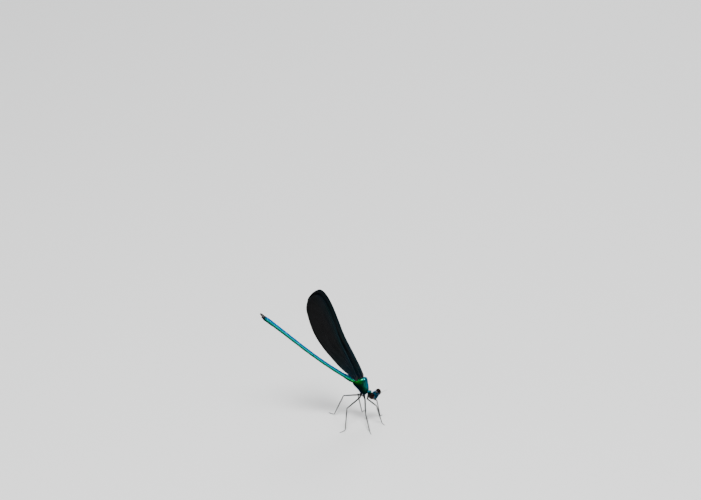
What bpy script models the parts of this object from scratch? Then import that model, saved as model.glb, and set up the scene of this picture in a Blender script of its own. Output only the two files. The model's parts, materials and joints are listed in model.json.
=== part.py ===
"""Ebony jewelwing damselfly, a male, at life size.

It stands on six feet with its body tipped head down, its abdomen raised behind and its four
dark wings closed over its back. The floor is Z = 0, the head faces +X and +Y is its left side.
Sizes below are in millimetres. The body frame has its origin where the abdomen meets the thorax,
with +X towards the head and +Z towards the back of the animal.
"""

import math

import bmesh
import bpy
import numpy as np
from mathutils import Matrix, Vector

MM = 0.001

# Stance
ABDOMEN_BASE = (9.45, 1.25, 14.60)
BODY_PITCH = math.radians(36.5)
GAP = 0.3

# Abdomen: each segment's length, front radius and rear radius, from the thorax to the tip
SEGMENTS = (
    (0.90, 0.78, 0.86),
    (2.20, 0.86, 0.72),
    (5.80, 0.66, 0.60),
    (6.60, 0.60, 0.60),
    (6.30, 0.60, 0.62),
    (5.40, 0.62, 0.64),
    (4.20, 0.64, 0.70),
    (2.10, 0.70, 0.76),
    (1.50, 0.76, 0.76),
    (0.90, 0.76, 0.64),
)
ABDOMEN_START = (-0.20, -0.36)
# Its slope beyond the body's own pitch, in degrees, at shares of its length
ABDOMEN_SLOPE = ((0.0, -6.2), (0.2, -2.8), (0.45, 1.6), (0.7, 3.4), (0.88, 1.8), (1.0, 0.2))
# How far each segment swells along its length
SEGMENT_PROFILE = (
    (0.0, 0.90), (0.05, 0.98), (0.35, 1.0), (0.7, 1.0), (0.93, 1.0), (0.97, 1.05), (1.0, 1.0),
)
# Upper tail appendages, bowed like pincers: the gap behind the tip, then the root beside and above it
CERCUS_OFFSET = 0.36
CERCUS_ROOT = (0.34, 0.36)
CERCUS_LENGTH = 1.45
CERCUS_BOW = 0.24
CERCUS_CLOSE = 0.02
CERCUS_LIFT = 0.08
CERCUS_RADIUS = 0.26
CERCUS_TAPER = 0.11
CERCUS_STEPS = 5
# Lower tail appendages, rooted inside the tip: the root beside and below it, and where they turn
LOWER_INSET = 0.5
LOWER_ROOT = (0.0, 0.30, -0.40)
LOWER_LENGTH = 1.25
LOWER_TURN = (0.0, -0.05, 0.05)
LOWER_RADII = ((0.0, 0.25), (0.6, 0.23), (1.0, 0.14))

# Thorax: half width, top and underside at each distance forward of the abdomen
THORAX_REAR, THORAX_FRONT = 0.10, 6.05
THORAX_TOP = (
    (0.1, 0.52), (0.45, 1.20), (1.1, 2.1), (1.8, 2.75), (2.5, 3.2), (3.1, 3.0),
    (4.2, 1.95), (5.15, 1.0), (5.8, 0.25), (6.05, -0.40),
)
THORAX_UNDER = (
    (0.1, -0.98), (0.7, -1.36), (2.0, -1.62), (3.2, -1.92), (4.4, -2.25), (5.35, -2.30),
    (5.85, -2.02), (6.05, -1.6),
)
THORAX_HALF = (
    (0.1, 0.74), (0.5, 1.2), (1.2, 1.48), (2.4, 1.58), (3.8, 1.58), (4.8, 1.40),
    (5.6, 1.05), (6.05, 0.62),
)
CARINA = 0.14
CARINA_START = 2.5

# Prothorax and neck: distance forward, radius across, radius up, and centre height
PROTHORAX = (
    (6.35, 0.62, 0.62, -0.46),
    (6.44, 0.88, 0.84, -0.46),
    (6.58, 0.80, 0.76, -0.46),
    (6.76, 0.86, 0.84, -0.46),
    (6.96, 0.76, 0.72, -0.46),
    (7.10, 0.50, 0.50, -0.44),
    (7.45, 0.40, 0.42, -0.40),
    (8.20, 0.38, 0.40, -0.32),
)

# Head: its centre in the body frame, and its turn and tilt in the world
HEAD_CENTRE = (8.36, 0.0, 0.13)
HEAD_TURN = math.radians(-31)
HEAD_TILT = math.radians(7)
EYE_CENTRE = (0.02, 1.86, 0.10)
EYE_RADII = (0.98, 0.84, 1.16)
OCCIPUT = ((-0.12, 0.0, 0.30), (0.84, 1.55, 0.72))
LABIUM = ((0.22, 0.0, -1.36), (0.56, 0.50, 0.34))
# Each rounded form of the head: its centre, its radii, and its sides and rings
HEAD_FORMS = {
    "occiput": (*OCCIPUT, 20, 9),
    "brow": ((0.30, 0.0, 0.02), (0.80, 1.02, 0.92), 18, 9),
    "nose": ((0.92, 0.0, -0.24), (0.50, 0.74, 0.34), 14, 7),
    "upper_lip": ((0.70, 0.0, -0.74), (0.44, 0.66, 0.46), 14, 7),
    "jaw_left": ((0.28, 0.66, -0.62), (0.50, 0.42, 0.56), 12, 7),
    "jaw_right": ((0.28, -0.66, -0.62), (0.50, 0.42, 0.56), 12, 7),
    "ocellus_front": ((0.42, 0.0, 0.86), (0.16, 0.16, 0.14), 8, 5),
    "ocellus_left": ((0.12, 0.34, 0.96), (0.15, 0.15, 0.14), 8, 5),
    "ocellus_right": ((0.12, -0.34, 0.96), (0.15, 0.15, 0.14), 8, 5),
}
# Antenna of the left side: its root, its direction, and the distance, lift and radius along it
ANTENNA_ROOT = (1.18, 0.62, 0.56)
ANTENNA_REACH = (0.62, 0.62, 0.40)
ANTENNA = ((0.0, 0.0, 0.25), (0.5, 0.0, 0.25), (1.1, 0.0, 0.24), (2.0, 0.10, 0.17), (3.0, 0.28, 0.09))

# Wings: hinge centre in the body frame, rise above the abdomen, length, widest chord
# and where the blade lies at its root and beyond it, across the body
WINGS = {
    "wing_fore": {
        "hinge": (1.56, 3.28),
        "rise": math.radians(29.4),
        "length": 33.2,
        "chord": 8.8,
        "root_chord": 1.70,
        "root_y": 0.50,
        "blade_y": 0.44,
    },
    "wing_hind": {
        "hinge": (0.42, 1.70),
        "rise": math.radians(31.0),
        "length": 32.2,
        "chord": 8.5,
        "root_chord": 1.15,
        "root_y": 1.30,
        "blade_y": 1.32,
    },
}
# The leading edge's set-back in millimetres, and the trailing edge's as a share of the chord,
# at shares of the wing's length
WING_LEAD = (
    (0.0, 0.12), (0.07, -0.02), (0.14, -0.06), (0.34, 0.05), (0.46, 0.12), (0.6, -0.24),
    (0.74, -0.62), (0.84, -0.70), (0.92, -0.72), (1.0, -0.72),
)
WING_TRAIL = (
    (0.0, 0.085), (0.06, 0.24), (0.17, 0.44), (0.3, 0.60), (0.45, 0.75), (0.6, 0.83),
    (0.72, 0.815), (0.84, 0.765), (0.92, 0.745), (1.0, 0.735),
)
WING_TIP = 1.25
WING_ROUND_START = 0.80
WING_ROUND_POWER = 2.4
WING_SETTLE = 3.5
MEMBRANE = 0.44
VEIN_RISE = 0.06
# Where each main vein behind the leading edge meets the margin, as a share of the wing's length
VEIN_ENDS = (0.9995, 0.985, 0.93, 0.82, 0.68, 0.52, 0.34)
LAST_ROW_END = 0.10
VEIN_BEND = 1.65
HEEL_BEND = 1.0
COLUMNS = 14

# Legs: coxa and hip in the body frame, then knee, ankle and claw measured from the floor point
# under the abdomen's base
LEGS = {
    "leg_hind_right": {
        "coxa": (4.72, -0.62, -2.66),
        "hip": (5.00, -1.05, -3.42),
        "knee": (-1.86, -5.85, 7.20),
        "ankle": (-2.3, -7.8),
        "claw": (-4.0, -9.4),
    },
    "leg_middle_right": {
        "coxa": (5.95, -0.60, -2.42),
        "hip": (6.72, -0.95, -2.95),
        "knee": (3.95, -2.72, 3.91),
        "ankle": (5.6, -7.9),
        "claw": (6.2, -9.8),
    },
    "leg_fore_right": {
        "coxa": (6.98, -0.50, -1.56),
        "hip": (7.22, -0.86, -2.36),
        "knee": (7.50, -1.95, 6.46),
        "ankle": (9.2, -1.6),
        "claw": (10.2, -3.0),
    },
    "leg_hind_left": {
        "coxa": (4.72, 0.62, -2.66),
        "hip": (5.00, 1.05, -3.42),
        "knee": (-3.63, 3.14, 7.32),
        "ankle": (-6.7, 3.5),
        "claw": (-8.6, 4.8),
    },
    "leg_middle_left": {
        "coxa": (5.95, 0.60, -2.42),
        "hip": (6.40, 1.05, -3.05),
        "knee": (0.90, 5.00, 7.20),
        "ankle": (2.3, 5.6),
        "claw": (2.9, 7.4),
    },
    "leg_fore_left": {
        "coxa": (6.98, 0.50, -1.56),
        "hip": (7.22, 0.86, -2.36),
        "knee": (7.30, 2.20, 6.50),
        "ankle": (8.35, 3.2),
        "claw": (8.9, 4.6),
    },
}
ANKLE_HEIGHT = 0.36
CLAW_HEIGHT = 0.16
SOLE = 0.13
LEG_RADII = (0.40, 0.34, 0.28, 0.25, 0.10)


def clear_scene():
    for item in list(bpy.data.objects):
        bpy.data.objects.remove(item)


def material(name, colour, roughness, metallic):
    made = bpy.data.materials.new(name)
    made.use_nodes = True
    shader = made.node_tree.nodes["Principled BSDF"]
    shader.inputs["Base Color"].default_value = (*colour, 1.0)
    shader.inputs["Roughness"].default_value = roughness
    shader.inputs["Metallic"].default_value = metallic
    made.diffuse_color = (*colour, 1.0)
    return made


def frame_at(name, place, rotation):
    """An empty that carries the pieces modelled in its frame."""
    empty = bpy.data.objects.new(name, None)
    empty.matrix_world = Matrix.Translation(Vector(place) * MM) @ rotation.to_4x4()
    bpy.context.scene.collection.objects.link(empty)
    return empty


def add_solid(name, points, faces, finish, parent=None):
    """One closed mesh from points in millimetres, with its faces turned outward."""
    mesh = bpy.data.meshes.new(name)
    mesh.from_pydata([tuple(float(c) * MM for c in p) for p in points], [], faces)
    work = bmesh.new()
    work.from_mesh(mesh)
    bmesh.ops.recalc_face_normals(work, faces=work.faces)
    bmesh.ops.triangulate(work, faces=work.faces)
    work.to_mesh(mesh)
    work.free()
    mesh.shade_smooth()
    mesh.set_sharp_from_angle(angle=math.radians(50))
    mesh.materials.append(finish)
    solid = bpy.data.objects.new(name, mesh)
    bpy.context.scene.collection.objects.link(solid)
    solid.parent = parent
    return solid


def smooth_curve(knots, x):
    """Catmull-Rom value at x through (x, value) knots."""
    xs = [k[0] for k in knots]
    ys = [k[1] for k in knots]
    if x <= xs[0]:
        return ys[0]
    if x >= xs[-1]:
        return ys[-1]
    i = max(j for j in range(len(xs) - 1) if xs[j] <= x)
    slopes = []
    for j in (i, i + 1):
        before, after = max(j - 1, 0), min(j + 1, len(ys) - 1)
        slopes.append((ys[after] - ys[before]) / (xs[after] - xs[before]))
    span = xs[i + 1] - xs[i]
    t = (x - xs[i]) / span
    return (
        ys[i] * (2 * t**3 - 3 * t**2 + 1)
        + slopes[0] * span * (t**3 - 2 * t**2 + t)
        + ys[i + 1] * (3 * t**2 - 2 * t**3)
        + slopes[1] * span * (t**3 - t**2)
    )


def loft(rings):
    """Points and faces of a closed body through rings of equal count, with fan caps at both ends."""
    count = len(rings[0])
    points = [p for ring in rings for p in ring]
    faces = []
    for i in range(len(rings) - 1):
        for j in range(count):
            k = (j + 1) % count
            faces.append((i * count + j, i * count + k, (i + 1) * count + k, (i + 1) * count + j))
    for first, ring in ((0, rings[0]), ((len(rings) - 1) * count, rings[-1])):
        points.append(tuple(np.mean(np.array(ring), axis=0)))
        centre = len(points) - 1
        faces += [(first + j, first + (j + 1) % count, centre) for j in range(count)]
    return points, faces


def ellipsoid(centre, radii, around=16, along=9):
    """A closed ellipsoid whose poles lie on its Z axis."""
    rings = []
    for i in range(along):
        tilt = math.pi * (i + 0.5) / along
        rings.append([
            (
                centre[0] + radii[0] * math.sin(tilt) * math.cos(2 * math.pi * j / around),
                centre[1] + radii[1] * math.sin(tilt) * math.sin(2 * math.pi * j / around),
                centre[2] + radii[2] * math.cos(tilt),
            )
            for j in range(around)
        ])
    points, faces = loft(rings)
    points[-2] = (centre[0], centre[1], centre[2] + radii[2])
    points[-1] = (centre[0], centre[1], centre[2] - radii[2])
    return points, faces


def tube(stations, sides=8):
    """A closed tube through (point, radius) stations, each ring square to the path."""
    points = [Vector(p) for p, _ in stations]
    rings = []
    up = None
    for i, (_, radius) in enumerate(stations):
        along = (points[min(i + 1, len(points) - 1)] - points[max(i - 1, 0)]).normalized()
        if up is None:
            up = Vector((0, 0, 1)) if abs(along.z) < 0.9 else Vector((1, 0, 0))
        up = (up - along * up.dot(along)).normalized()
        side = along.cross(up)
        rings.append([
            tuple(points[i] + radius * (math.cos(a) * side + math.sin(a) * up))
            for a in (2 * math.pi * (j + 0.5) / sides for j in range(sides))
        ])
    return loft(rings)


def rounded_path(corners, radii, turn=0.7, steps=3, runs=3):
    """Stations along straight runs with rounded corners, the radius eased from corner to corner."""
    corners = [Vector(c) for c in corners]
    stations = [(corners[0], radii[0])]
    for i in range(1, len(corners) - 1):
        before, here, after = corners[i - 1], corners[i], corners[i + 1]
        cut = min(turn, 0.4 * (here - before).length, 0.4 * (after - here).length)
        enter = here + (before - here).normalized() * cut
        leave = here + (after - here).normalized() * cut
        start, start_radius = stations[-1]
        for k in range(1, runs):
            share = k / runs
            stations.append((start.lerp(enter, share), start_radius + (radii[i] - start_radius) * share))
        for k in range(steps + 1):
            t = k / steps
            point = (1 - t) ** 2 * enter + 2 * t * (1 - t) * here + t**2 * leave
            stations.append((point, radii[i]))
    start, start_radius = stations[-1]
    for k in range(1, runs + 1):
        share = k / runs
        stations.append((start.lerp(corners[-1], share), start_radius + (radii[-1] - start_radius) * share))
    return stations


def fuse(name, pieces, finish, parent):
    """Joins closed pieces into one body by a Boolean union over a collection, then applies it."""
    first = add_solid(name, *pieces[0], finish, parent)
    others = bpy.data.collections.new(name + "_pieces")
    bpy.context.scene.collection.children.link(others)
    for i, (points, faces) in enumerate(pieces[1:]):
        piece = add_solid(f"{name}_piece_{i}", points, faces, finish, parent)
        bpy.context.scene.collection.objects.unlink(piece)
        others.objects.link(piece)
    bpy.context.view_layer.update()
    join = first.modifiers.new("join", "BOOLEAN")
    join.operation = "UNION"
    join.operand_type = "COLLECTION"
    join.collection = others
    join.solver = "EXACT"
    apply_modifiers(first)
    for piece in list(others.objects):
        bpy.data.objects.remove(piece)
    bpy.data.collections.remove(others)
    return first


def cut_away(solid, points, faces, parent):
    """Cuts a closed shape, modelled in its parent's frame, out of a solid."""
    cutter = add_solid(solid.name + "_cutter", points, faces, solid.data.materials[0], parent)
    bpy.context.view_layer.update()
    cut = solid.modifiers.new("cut", "BOOLEAN")
    cut.operation = "DIFFERENCE"
    cut.object = cutter
    cut.solver = "EXACT"
    apply_modifiers(solid)
    bpy.data.objects.remove(cutter)


def apply_modifiers(solid):
    """Replaces a solid's mesh by its evaluated mesh, keeping only the largest closed surface."""
    bpy.context.view_layer.update()
    evaluated = solid.evaluated_get(bpy.context.evaluated_depsgraph_get())
    mesh = bpy.data.meshes.new_from_object(evaluated)
    solid.modifiers.clear()
    solid.data = mesh
    work = bmesh.new()
    work.from_mesh(mesh)
    work.faces.ensure_lookup_table()
    left = set(work.faces)
    shells = []
    while left:
        seed = left.pop()
        shell, edge_of = {seed}, [seed]
        while edge_of:
            face = edge_of.pop()
            for edge in face.edges:
                for other in edge.link_faces:
                    if other in left:
                        left.discard(other)
                        shell.add(other)
                        edge_of.append(other)
        shells.append(shell)
    largest = max(shells, key=lambda shell: sum(f.calc_area() for f in shell))
    bmesh.ops.delete(work, geom=[f for f in work.faces if f not in largest], context="FACES")
    bmesh.ops.triangulate(work, faces=work.faces)
    work.to_mesh(mesh)
    work.free()


def abdomen_point(distance):
    """Place and slope of the abdomen's centreline, stepped along its curve."""
    length = sum(s[0] for s in SEGMENTS)
    x, z = ABDOMEN_START
    steps = 60
    stride = distance / steps
    for k in range(steps):
        slope = math.radians(smooth_curve(ABDOMEN_SLOPE, stride * (k + 0.5) / length))
        x -= stride * math.cos(slope)
        z += stride * math.sin(slope)
    return Vector((x, 0, z)), math.radians(smooth_curve(ABDOMEN_SLOPE, distance / length))


def abdomen_ring(distance, radius, sides=14):
    """A rounded section, a little taller than wide and narrower below."""
    place, angle = abdomen_point(distance)
    up = Vector((math.sin(angle), 0, math.cos(angle)))
    ring = []
    for j in range(sides):
        turn = 2 * math.pi * j / sides
        across = radius * math.sin(turn) * (0.95 + 0.05 * math.cos(turn))
        rise = radius * math.cos(turn) * 1.04
        ring.append(tuple(place + Vector((0, across, 0)) + up * rise))
    return ring


def build_abdomen(finish, dark, parent):
    """Ten ringed segments, the last with the lower pair of appendages, and the upper pair behind it."""
    start = 0.0
    for number, (length, front, rear) in enumerate(SEGMENTS, start=1):
        shown = length - GAP
        rings = []
        for share, swell in SEGMENT_PROFILE:
            radius = (front + (rear - front) * share) * swell
            rings.append(abdomen_ring(start + GAP + shown * share, radius))
        if number == len(SEGMENTS):
            tip, angle = abdomen_point(start + length)
            back = Vector((-math.cos(angle), 0, math.sin(angle)))
            pieces = [loft(rings)]
            for side in (-1, 1):
                mirror = Vector((1, side, 1))
                root = tip - back * LOWER_INSET + Vector(LOWER_ROOT) * mirror
                end = root + back * LOWER_LENGTH + Vector(LOWER_TURN) * mirror
                stations = [(root.lerp(end, share), radius) for share, radius in LOWER_RADII]
                pieces.append(tube(stations, 6))
            fuse(f"abdomen_{number:02d}", pieces, finish, parent)
        else:
            add_solid(f"abdomen_{number:02d}", *loft(rings), finish, parent)
        start += length
    tip, angle = abdomen_point(start)
    back = Vector((-math.cos(angle), 0, math.sin(angle)))
    for side, word in ((1, "left"), (-1, "right")):
        root = tip + back * CERCUS_OFFSET + Vector((0, CERCUS_ROOT[0] * side, CERCUS_ROOT[1]))
        stations = []
        for k in range(CERCUS_STEPS + 1):
            share = k / CERCUS_STEPS
            bow = CERCUS_BOW * math.sin(math.pi * share) - CERCUS_CLOSE * share
            place = root + back * CERCUS_LENGTH * share + Vector((0, side * bow, CERCUS_LIFT * share))
            stations.append((place, CERCUS_RADIUS - CERCUS_TAPER * share))
        add_solid(f"cercus_{word}", *tube(stations), dark, parent)


def thorax_ring(x, sides=22):
    top = smooth_curve(THORAX_TOP, x)
    under = smooth_curve(THORAX_UNDER, x)
    half = smooth_curve(THORAX_HALF, x)
    middle = 0.45 * top + 0.55 * under
    ring = []
    for j in range(sides):
        turn = 2 * math.pi * j / sides
        rise = math.cos(turn)
        across = half * math.copysign(abs(math.sin(turn)) ** 0.82, math.sin(turn))
        if rise > 0:
            height = middle + (top - middle) * rise**0.85
            across *= 1 - 0.16 * rise**2
        else:
            height = middle + (middle - under) * -((-rise) ** 0.85)
            across *= 1 - 0.10 * rise**2
        if j == 0 and x > CARINA_START:
            height += CARINA
        ring.append((x, across, height))
    return ring


def build_thorax(finish, parent):
    stations = 16
    rings = []
    for i in range(stations):
        share = i / (stations - 1)
        eased = 0.5 - 0.5 * math.cos(math.pi * share)
        x = THORAX_REAR + (THORAX_FRONT - THORAX_REAR) * (0.5 * share + 0.5 * eased)
        rings.append(thorax_ring(x))
    return add_solid("thorax", *loft(rings), finish, parent)


def build_prothorax(finish, parent):
    sides = 16
    rings = []
    for x, across, up, middle in PROTHORAX:
        rings.append([
            (x, across * math.sin(2 * math.pi * j / sides), middle + up * math.cos(2 * math.pi * j / sides))
            for j in range(sides)
        ])
    return add_solid("prothorax", *loft(rings), finish, parent)


def build_head(finish, eye_finish, dark, parent):
    """The capsule with sockets for the eyes, which it clears by the gap, and two antennae."""
    head = fuse("head", [ellipsoid(*form) for form in HEAD_FORMS.values()], finish, parent)
    for side, word in ((1, "left"), (-1, "right")):
        centre = (EYE_CENTRE[0], side * EYE_CENTRE[1], EYE_CENTRE[2])
        socket = tuple(r + GAP for r in EYE_RADII)
        cut_away(head, *ellipsoid(centre, socket, 24, 13), parent)
        add_solid(f"eye_{word}", *ellipsoid(centre, EYE_RADII, 20, 11), eye_finish, parent)
        mirror = Vector((1, side, 1))
        root = Vector(ANTENNA_ROOT) * mirror
        reach = (Vector(ANTENNA_REACH) * mirror).normalized()
        stations = [(root + reach * along + Vector((0, 0, lift)), radius) for along, lift, radius in ANTENNA]
        add_solid(f"antenna_{word}", *tube(stations, 8), dark, parent)
    centre, radii = LABIUM
    cut_away(head, *ellipsoid(centre, tuple(r + GAP for r in radii), 16, 9), parent)
    add_solid("labium", *ellipsoid(centre, radii, 14, 8), dark, parent)
    return head


def wing_rounding(share):
    """How much of the width is left at a share of the length, where the tip is rounded off."""
    beyond = max(0.0, (share - WING_ROUND_START) / (1 - WING_ROUND_START))
    return (1 - beyond**WING_ROUND_POWER) ** (1 / WING_ROUND_POWER)


def wing_lead(share):
    """Leading edge at a share of the length, bowed a little and rounded off at the tip."""
    return WING_TIP - (WING_TIP - smooth_curve(WING_LEAD, share)) * wing_rounding(share)


def wing_trail(share, chord):
    """Trailing edge, narrow at the hinge and widest past the middle, rounded off at the tip."""
    return WING_TIP + (chord * smooth_curve(WING_TRAIL, share) - WING_TIP) * wing_rounding(share)


def row_bend(place):
    """How late a row leaves the hinge's direction: later for the veins in front than for the heel."""
    return VEIN_BEND + (HEEL_BEND - VEIN_BEND) * place**3


def wing_rows():
    """Each row of the fan: where it ends, its place in the hinge, and whether it is a vein's crest."""
    ends = (1.0, *VEIN_ENDS, LAST_ROW_END)
    rows = [(ends[0], 0.0, True)]
    for i in range(1, len(ends)):
        crest = i / (len(ends) - 1)
        before = (i - 1) / (len(ends) - 1)
        width = crest - before
        for share, high in ((0.12, False), (0.5, False), (0.88, False), (1.0, i < len(ends) - 1)):
            end = ends[i - 1] + (ends[i] - ends[i - 1]) * share
            rows.append((end, before + width * share, high))
    return rows


def build_wing(name, side, sizes, finish, parent):
    """A fan of rows from the hinge to the margin, with each main vein a row that stands proud."""
    length, chord, rise = sizes["length"], sizes["chord"], sizes["rise"]
    along = Vector((-math.cos(rise), 0, math.sin(rise)))
    behind = Vector((-math.sin(rise), 0, -math.cos(rise)))
    hinge = Vector((sizes["hinge"][0], 0, sizes["hinge"][1]))
    rows = wing_rows()
    steps = [math.sin(0.5 * math.pi * j / COLUMNS) for j in range(COLUMNS + 1)]
    faces_points = {1: [], -1: []}
    for end, place, crest in rows:
        for step in steps:
            share = end * step
            drop = place * sizes["root_chord"] * (1 - step)
            reach = (wing_trail(end, chord) - wing_lead(end)) * step ** row_bend(place)
            across = wing_lead(share) + drop + (reach if end < 1.0 else 0.0)
            settled = 1 - math.exp(-share * length / WING_SETTLE)
            lie = sizes["root_y"] + (sizes["blade_y"] - sizes["root_y"]) * settled
            thick = 0.5 * MEMBRANE + (VEIN_RISE if crest else 0.0)
            centre = hinge + along * share * length + behind * across + Vector((0, side * lie, 0))
            for face in (1, -1):
                faces_points[face].append(centre + Vector((0, side * face * thick, 0)))
    width = COLUMNS + 1
    count = len(rows) * width
    points = faces_points[1] + faces_points[-1]
    faces = []
    for i in range(len(rows) - 1):
        for j in range(COLUMNS):
            a, b, c, d = i * width + j, i * width + j + 1, (i + 1) * width + j + 1, (i + 1) * width + j
            faces += [(a, b, c), (a, c, d)]
            faces += [(count + a, count + c, count + b), (count + a, count + d, count + c)]
    rim = list(range(width))
    rim += [i * width + COLUMNS for i in range(1, len(rows))]
    rim += [(len(rows) - 1) * width + j for j in range(COLUMNS - 1, -1, -1)]
    rim += [i * width for i in range(len(rows) - 2, 0, -1)]
    for a, b in zip(rim, rim[1:] + rim[:1]):
        faces.append((a, b, count + b, count + a))
    return add_solid(name, points, faces, finish, parent)


def build_leg(name, sizes, body, finish):
    """One limb from the coxa to the claws, with the foot's underside flat on the floor."""
    foot = Vector((ABDOMEN_BASE[0], ABDOMEN_BASE[1], 0))
    root = body @ Vector(sizes["coxa"])
    hip = body @ Vector(sizes["hip"])
    ankle = foot + Vector((*sizes["ankle"], ANKLE_HEIGHT))
    claw = foot + Vector((*sizes["claw"], CLAW_HEIGHT))
    knee = foot + Vector(sizes["knee"])
    points, faces = tube(rounded_path([root, hip, knee, ankle, claw], LEG_RADII), 8)
    points = [(p[0], p[1], p[2] if p[2] > SOLE else 0.0) for p in points]
    add_solid(name, points, faces, finish)


def build_all():
    clear_scene()
    green = material("metallic green cuticle", (0.005, 0.16, 0.13), 0.32, 0.85)
    blue = material("metallic blue cuticle", (0.0, 0.22, 0.50), 0.30, 0.85)
    black = material("black cuticle", (0.012, 0.012, 0.014), 0.45, 0.0)
    wing = material("dark wing", (0.008, 0.010, 0.014), 0.38, 0.2)
    eye = material("dark brown eye", (0.045, 0.012, 0.008), 0.18, 0.0)
    pitch = Matrix.Rotation(BODY_PITCH, 3, "Y")
    body_frame = frame_at("body_frame", ABDOMEN_BASE, pitch)
    body = Matrix.Translation(Vector(ABDOMEN_BASE)) @ pitch.to_4x4()
    build_abdomen(blue, black, body_frame)
    build_thorax(green, body_frame)
    prothorax = build_prothorax(green, body_frame)
    turn = Matrix.Rotation(HEAD_TURN, 3, "Z") @ Matrix.Rotation(HEAD_TILT, 3, "Y")
    head_frame = frame_at("head_frame", body @ Vector(HEAD_CENTRE), turn)
    build_head(blue, eye, black, head_frame)
    centre, radii = OCCIPUT
    cut_away(prothorax, *ellipsoid(centre, tuple(r + GAP for r in radii), 20, 11), head_frame)
    for name, sizes in WINGS.items():
        for side, word in ((1, "left"), (-1, "right")):
            build_wing(f"{name}_{word}", side, sizes, wing, body_frame)
    for name, sizes in LEGS.items():
        build_leg(name, sizes, body, black)


build_all()
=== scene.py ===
"""Looks of the damselfly: a continuous cuticle skin, fine veined wings, head, eyes and limbs.

Sizes are in millimetres. The body frame has its origin where the abdomen meets the thorax, with
+X towards the head and +Z towards the back of the animal.
"""

import json
import random
from math import copysign, cos, degrees, exp, hypot, pi, radians, sin, tau

import bmesh
import bpy
import numpy as np
from mathutils import Matrix, Vector

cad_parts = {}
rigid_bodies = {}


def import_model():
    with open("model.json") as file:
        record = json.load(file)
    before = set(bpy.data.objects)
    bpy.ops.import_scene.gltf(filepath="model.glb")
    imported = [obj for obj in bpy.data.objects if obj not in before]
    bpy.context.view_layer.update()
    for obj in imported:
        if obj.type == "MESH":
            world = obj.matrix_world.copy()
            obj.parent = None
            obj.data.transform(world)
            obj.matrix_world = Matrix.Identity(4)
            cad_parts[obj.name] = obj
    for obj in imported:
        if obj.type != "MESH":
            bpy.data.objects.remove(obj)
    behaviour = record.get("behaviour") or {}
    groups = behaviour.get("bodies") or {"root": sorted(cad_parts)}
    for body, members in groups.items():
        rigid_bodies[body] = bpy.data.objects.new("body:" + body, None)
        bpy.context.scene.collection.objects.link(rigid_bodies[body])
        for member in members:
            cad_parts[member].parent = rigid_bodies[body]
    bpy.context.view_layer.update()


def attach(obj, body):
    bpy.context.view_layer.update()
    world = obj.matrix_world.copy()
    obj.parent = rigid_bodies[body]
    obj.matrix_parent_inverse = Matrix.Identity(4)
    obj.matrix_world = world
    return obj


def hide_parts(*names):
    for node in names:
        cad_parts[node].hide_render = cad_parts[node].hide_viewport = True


MM = 0.001

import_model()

# Stance, as in the solids
ABDOMEN_BASE = (9.45, 1.25, 14.6)
BODY_PITCH = radians(36.5)
BODY = Matrix.Translation(Vector(ABDOMEN_BASE)) @ Matrix.Rotation(BODY_PITCH, 4, "Y")

# Abdomen: each segment's length, front radius and rear radius, from the thorax to the tip
SEGMENTS = (
    (0.9, 0.78, 0.86),
    (2.2, 0.86, 0.72),
    (5.8, 0.66, 0.6),
    (6.6, 0.6, 0.6),
    (6.3, 0.6, 0.62),
    (5.4, 0.62, 0.64),
    (4.2, 0.64, 0.7),
    (2.1, 0.7, 0.76),
    (1.5, 0.76, 0.76),
    (0.9, 0.76, 0.64),
)
ABDOMEN_LENGTH = sum(s[0] for s in SEGMENTS)
ABDOMEN_START = (-0.2, -0.36)
ABDOMEN_SLOPE = ((0.0, -6.2), (0.2, -2.8), (0.45, 1.6), (0.7, 3.4), (0.88, 1.8), (1.0, 0.2))
LINE_STEPS = 720
BODY_SIDES = 56
# Where the sections of a segment stand, as shares of its length
SEGMENT_PROFILE = (0.0, 0.02, 0.05, 0.1, 0.2, 0.32, 0.44, 0.56, 0.68, 0.8, 0.88, 0.93, 0.96, 0.98)
# Segments from this one on, counted from nought, are a little slimmer than the table says
TAIL_FIRST = 8
TAIL_SLIM = 0.99
# Grooves under the abdomen: depth as a share of the radius, degrees from the top, and width
GROOVES = ((0.07, 148, 7), (0.03, 180, 18))
# How far the green of the base reaches, and how many segments lie before the black tip
GREEN_REACH = 3.4
BLACK_AFTER = 7

# Thorax: top, underside and half width at each distance forward of the abdomen
THORAX_TOP = (
    (0.1, 0.52), (0.45, 1.2), (1.1, 2.1), (1.8, 2.75), (2.5, 3.2), (3.1, 3.0),
    (4.2, 1.95), (5.15, 1.0), (5.8, 0.25), (6.05, -0.4),
)
THORAX_UNDER = (
    (0.1, -0.98), (0.7, -1.36), (2.0, -1.62), (3.2, -1.92), (4.4, -2.25), (5.35, -2.3),
    (5.85, -2.02), (6.05, -1.6),
)
THORAX_HALF = (
    (0.1, 0.74), (0.5, 1.2), (1.2, 1.48), (2.4, 1.58), (3.8, 1.58), (4.8, 1.4),
    (5.6, 1.05), (6.05, 0.62),
)
THORAX_REAR = 0.1
THORAX_LENGTH = 5.95
THORAX_STATIONS = 170
THORAX_SIDES = 190
# Where the abdomen's markings end and the thorax's begin
WAIST = 0.12
# Ridge down the front of the thorax, edges of the plates between the wings, and crest before them
CARINA = 0.14
CARINA_START = 2.5
PLATE_EDGES = (0.72, 1.22, 1.95)
CREST = 2.86
CREST_HOLLOW = 2.62
# Side seams of the thorax, each from its upper end to its lower end (forward, height)
SUTURES = (((2.9, 2.9), (5.2, -2.2)), ((1.9, 2.5), (4.2, -2.2)), ((1.0, 1.7), (2.9, -1.9)))
SEAM_WIDTH = 0.075
SEAM_BOW = 0.16
SEAMS_END = 6.1
SPIRACLE = (3.35, -1.25)

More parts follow.
